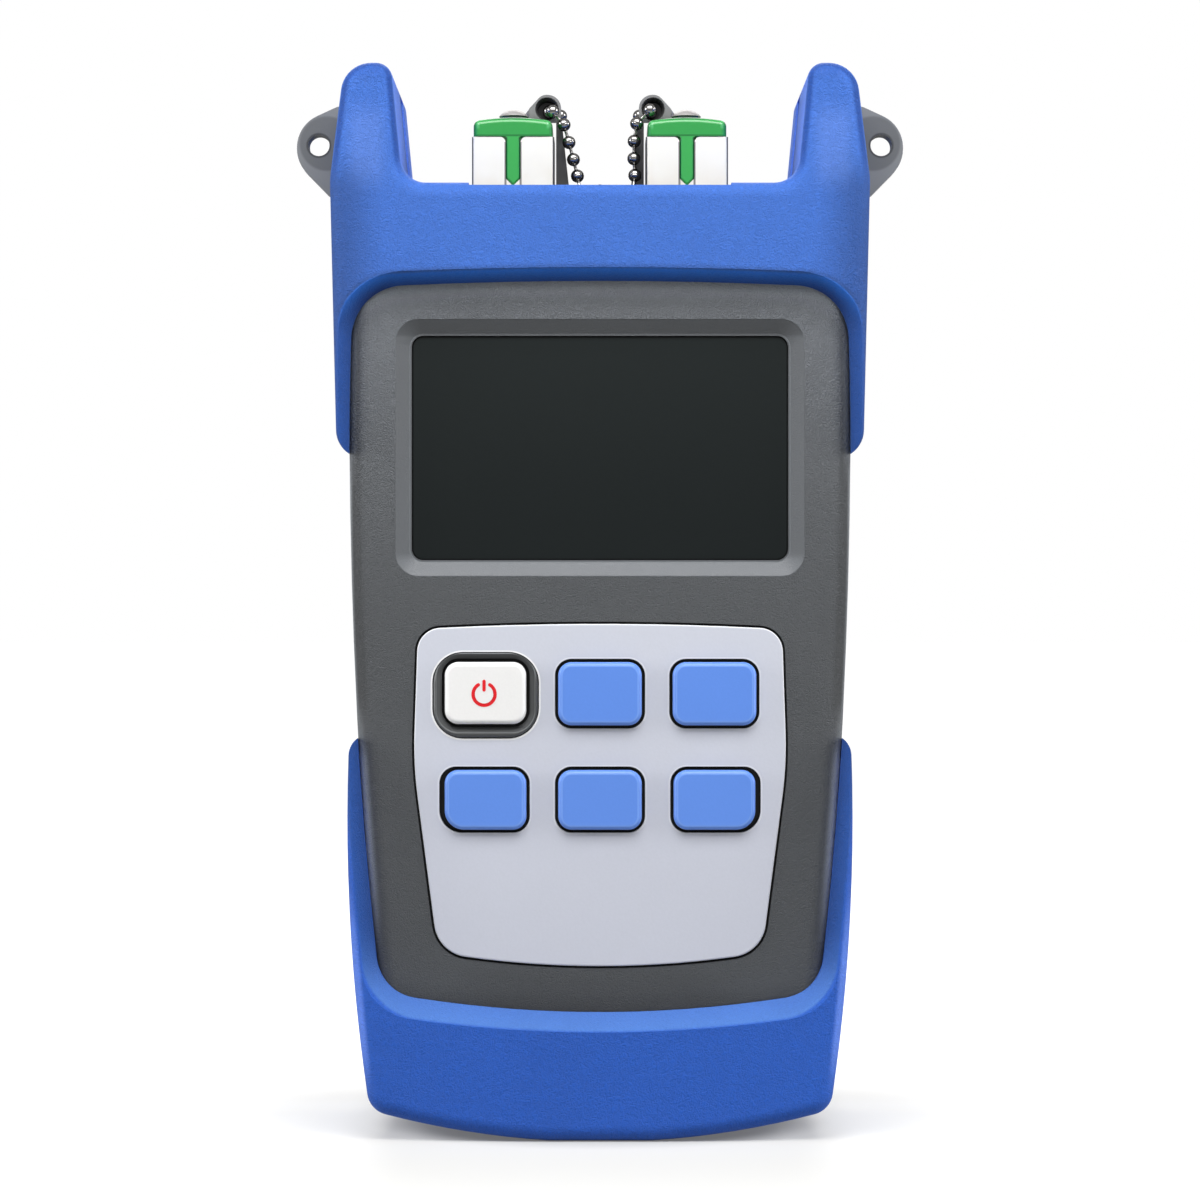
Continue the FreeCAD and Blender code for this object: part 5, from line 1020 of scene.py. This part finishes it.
def build_chain(side):
    """The beads sit at the route's points, each along the mean of its two wires' directions."""
    points = np.array(ROUTES[side]) * MM
    ends = np.concatenate([points, [POST]])
    runs = np.diff(ends, axis=0)
    ways = runs / np.linalg.norm(runs, axis=1)[:, None]
    axes = ways.copy()
    axes[1:] = ways[1:] + ways[:-1]
    # the wires dip a little into the beads, and the last one into the post
    starts = points + ways * BEAD * 0.93
    stops = ends[1:] - ways * BEAD * 0.93
    stops[-1] = ends[-1] - ways[-1] * POST_RADIUS * 0.98
    fixed = [bead_surface(points[i], axes[i]) for i in range(FIRST_SLACK)]
    fixed += [wire_surface(starts[i], stops[i]) for i in range(FIRST_SLACK - 1)]
    upper = piece(f"chain_{side}", fixed, bead_nickel)
    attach(upper, f"cap_{side}")
    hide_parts(f"cap_chain_{side}")
    shares = dict(zip(range(FIRST_SLACK, BEADS), SHARES))
    for i, share in shares.items():
        bead = piece(f"slack_bead_{side}_{i}", [bead_surface(points[i], axes[i])], bead_nickel)
        follow(bead, points[i], share)
    for i in range(FIRST_SLACK - 1, BEADS):
        link = piece(f"slack_link_{side}_{i}", [wire_surface(starts[i], stops[i])], bead_nickel)
        follow(link, starts[i], shares.get(i, ALL_BUT), stops[i], shares.get(i + 1, HARDLY))
    return round(float(np.linalg.norm(runs, axis=1).sum() / MM), 1)


print("chain lengths in mm", {side: build_chain(side) for side in ROUTES})

# %% [markdown]
# ## Power sign
# The generic power sign is printed on the white key: a ring with a gap and a bar. It could be a mask in the
# key's material, but a print stands a few hundredths of a millimetre proud and keeps a crisp edge at any
# distance, so it is two thin strokes with round ends.

# %% Power sign
KEY_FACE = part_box("power_key")[0].y
SIGN_X, SIGN_Z = -17.9 * MM, 68.95 * MM
SIGN_RADIUS, SIGN_GAP = 1.70 * MM, math.radians(31)
BAR_FOOT, BAR_TOP = 0.67 * MM, 1.98 * MM
STROKE = 0.26 * MM
INK, INK_GAP = 0.03 * MM, 0.004 * MM


def stroke_outline(line):
    """The outline of a stroke with round ends: the line moved by half its width to both sides, and two caps."""
    way = np.gradient(line, axis=0)
    way /= np.linalg.norm(way, axis=1)[:, None]
    side = np.stack([-way[:, 1], way[:, 0]], axis=1)
    turn = np.linspace(0, math.pi, 11)[1:-1, None]

    def cap(centre, ahead, left):
        return centre + STROKE * (np.cos(turn) * left + np.sin(turn) * ahead)

    return np.concatenate([line - side * STROKE, cap(line[-1], way[-1], -side[-1]),
                           (line + side * STROKE)[::-1], cap(line[0], -way[0], side[0])])


def ink_surface(outline):
    """A flat outline of (x, z) as a thin closed solid just in front of the key's face."""
    count = len(outline)
    back = KEY_FACE - INK_GAP
    rows = [np.column_stack([outline[:, 0], np.full(count, y), outline[:, 1]]) for y in (back - INK, back)]
    here = np.arange(count)
    after = (here + 1) % count
    wall = np.stack([here, count + here, count + after, after], 1)
    return np.concatenate(rows), np.concatenate([wall, lid(count), lid(count, count)[:, ::-1]])


def power_sign():
    """A ring of points (r cos a, r sin a) with a gap at its top, and an upright bar."""
    turn = np.linspace(math.pi / 2 + SIGN_GAP, math.pi / 2 - SIGN_GAP + 2 * math.pi, 60)
    arc = np.column_stack([SIGN_X + SIGN_RADIUS * np.cos(turn), SIGN_Z + SIGN_RADIUS * np.sin(turn)])
    bar = np.column_stack([np.full(12, SIGN_X), SIGN_Z + np.linspace(BAR_FOOT, BAR_TOP, 12)])
    inks = [ink_surface(stroke_outline(line)) for line in (arc, bar)]
    sign = piece("power_sign", inks, red_ink, smooth=False)
    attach(sign, "power_key_body")
    return sign


print("sign faces", len(power_sign().data.polygons))

# %% [markdown]
# ## Floor and backdrop
# The photograph's background is white, with a soft shadow under the meter. More light would burn out the pale
# keypad, so the floor and the world are white only to the camera, to mirrors and through glass, which Light Path
# tells apart. Where the shadow has to show, the floor's own glow is held back, which adds painted shadow to the
# real one.


# %% Floor and backdrop
def ray_kinds(tree):
    """1 for the camera's rays, for those of mirrors and for those through glass, and else 0."""
    outputs = add_node(tree, "ShaderNodeLightPath").outputs
    return [Field(tree, outputs[f"Is {kind} Ray"]) for kind in ("Camera", "Glossy", "Transmission")]


def floor_material():
    """A pale floor whose glow grows with the distance from the meter's footprint; x and y are in metres."""
    material = bpy.data.materials.new("floor")
    material.use_nodes = True
    tree = material.node_tree
    shader = tree.nodes["Principled BSDF"]
    shader.inputs["Roughness"].default_value = 0.8
    shader.inputs["Specular IOR Level"].default_value = 0.0
    shader.inputs["Emission Strength"].default_value = 1.0
    seen, mirrored, through = ray_kinds(tree)
    place = add_node(tree, "ShaderNodeTexCoord").outputs["Object"]
    split = add_node(tree, "ShaderNodeSeparateXYZ", inputs={0: place})
    x, y = (Field(tree, s) for s in split.outputs[:2])
    # painted shadow: the glow is held back under the sole, and comes back past an oval round the footprint, least
    # in front
    oval = ((x * (1 / 0.033)) ** 2 + (y * (1 / 0.025)) ** 2) ** 0.5
    front = (-y).above(0.0185, 0.003) * (1 - abs(x).above(0.035, 0.014))
    near = oval.above(0.99, 0.30) * (0.30 - front * 0.12)
    # beside the meter the lamps' own shadows have hard edges, which this painted light softens
    beside = abs(x).above(0.038, 0.008) * (abs(y).above(0.013, 0.012) * 0.05 + 0.04)
    aside, ahead, behind = (abs(x) - 0.037).most(0) * 2, (-y - 0.021).most(0), (y - 0.021).most(0) * 3
    far = ((aside * aside + ahead * ahead + behind * behind) ** 0.5).above(0.08, 0.13)
    glow = (seen + through) * (0.13 + near + beside + far * 0.50) + mirrored * 0.2
    tree.links.new(glow.socket, shader.inputs["Emission Color"])
    # a trace of warmth against the blue that the boots throw on the floor
    warm = add_node(tree, "ShaderNodeVectorMath", {"operation": "SCALE"},
                    {0: (1, 0.99, 0.95), "Scale": 0.40 + seen * 0.10})
    tree.links.new(warm.outputs[0], shader.inputs["Base Color"])
    return material


def white_world():
    """A faint light from all around, white to the camera and pale in mirrors."""
    world = bpy.data.worlds.new("world")
    bpy.context.scene.world = world
    world.use_nodes = True
    tree = world.node_tree
    background = tree.nodes["Background"]
    background.inputs["Color"].default_value = (1, 1, 1, 1)
    seen, mirrored, through = ray_kinds(tree)
    strength = 0.09 + (seen + through) * 0.91 + mirrored * 0.30
    tree.links.new(strength.socket, background.inputs["Strength"])


floor_mesh = bpy.data.meshes.new("floor")
floor_mesh.from_pydata([(-6, -3, 0), (6, -3, 0), (6, 6, 0), (-6, 6, 0)], [], [(0, 1, 2, 3)])
floor_mesh.materials.append(floor_material())
floor = bpy.data.objects.new("floor", floor_mesh)
bpy.context.scene.collection.objects.link(floor)
white_world()
print("floor nodes", len(floor_mesh.materials[0].node_tree.nodes))

# %% [markdown]
# ## Light
# The edges of the boots are bright on both sides in the photograph, so there is a tall lamp at each side besides
# the soft box above and in front. A wide lamp behind keeps the tops from going dark. Area lamps are used, since
# a sun or a spot would give hard shadows and small highlights.

# %% Lamps
LAMPS = {
    "key": ((0.0, -0.27, 0.45), (0, 0, 0.09), (0.50, 0.26), 2.9),
    "left": ((-0.60, -0.10, 0.20), (0, 0, 0.09), (0.20, 0.45), 2.2),
    "right": ((0.60, -0.10, 0.20), (0, 0, 0.09), (0.20, 0.45), 2.2),
    "back": ((0.0, 0.45, 0.50), (0, 0, 0.12), (0.5, 0.3), 1.2),
}


def lamp(name, place, target, size, power):
    """A rectangular lamp at a place that faces a target; size in metres, power in watts."""
    light = bpy.data.lights.new(name, "AREA")
    light.shape = "RECTANGLE"
    light.size, light.size_y = size
    light.energy = power
    thing = bpy.data.objects.new(name, light)
    thing.location = place
    thing.rotation_euler = (Vector(target) - Vector(place)).to_track_quat("-Z", "Y").to_euler()
    bpy.context.scene.collection.objects.link(thing)


for name, settings in LAMPS.items():
    lamp(name, *settings)
bpy.context.scene.view_settings.view_transform = "Standard"
print("lamps", len(LAMPS), "watts", sum(power for *_, power in LAMPS.values()))

# %% [markdown]
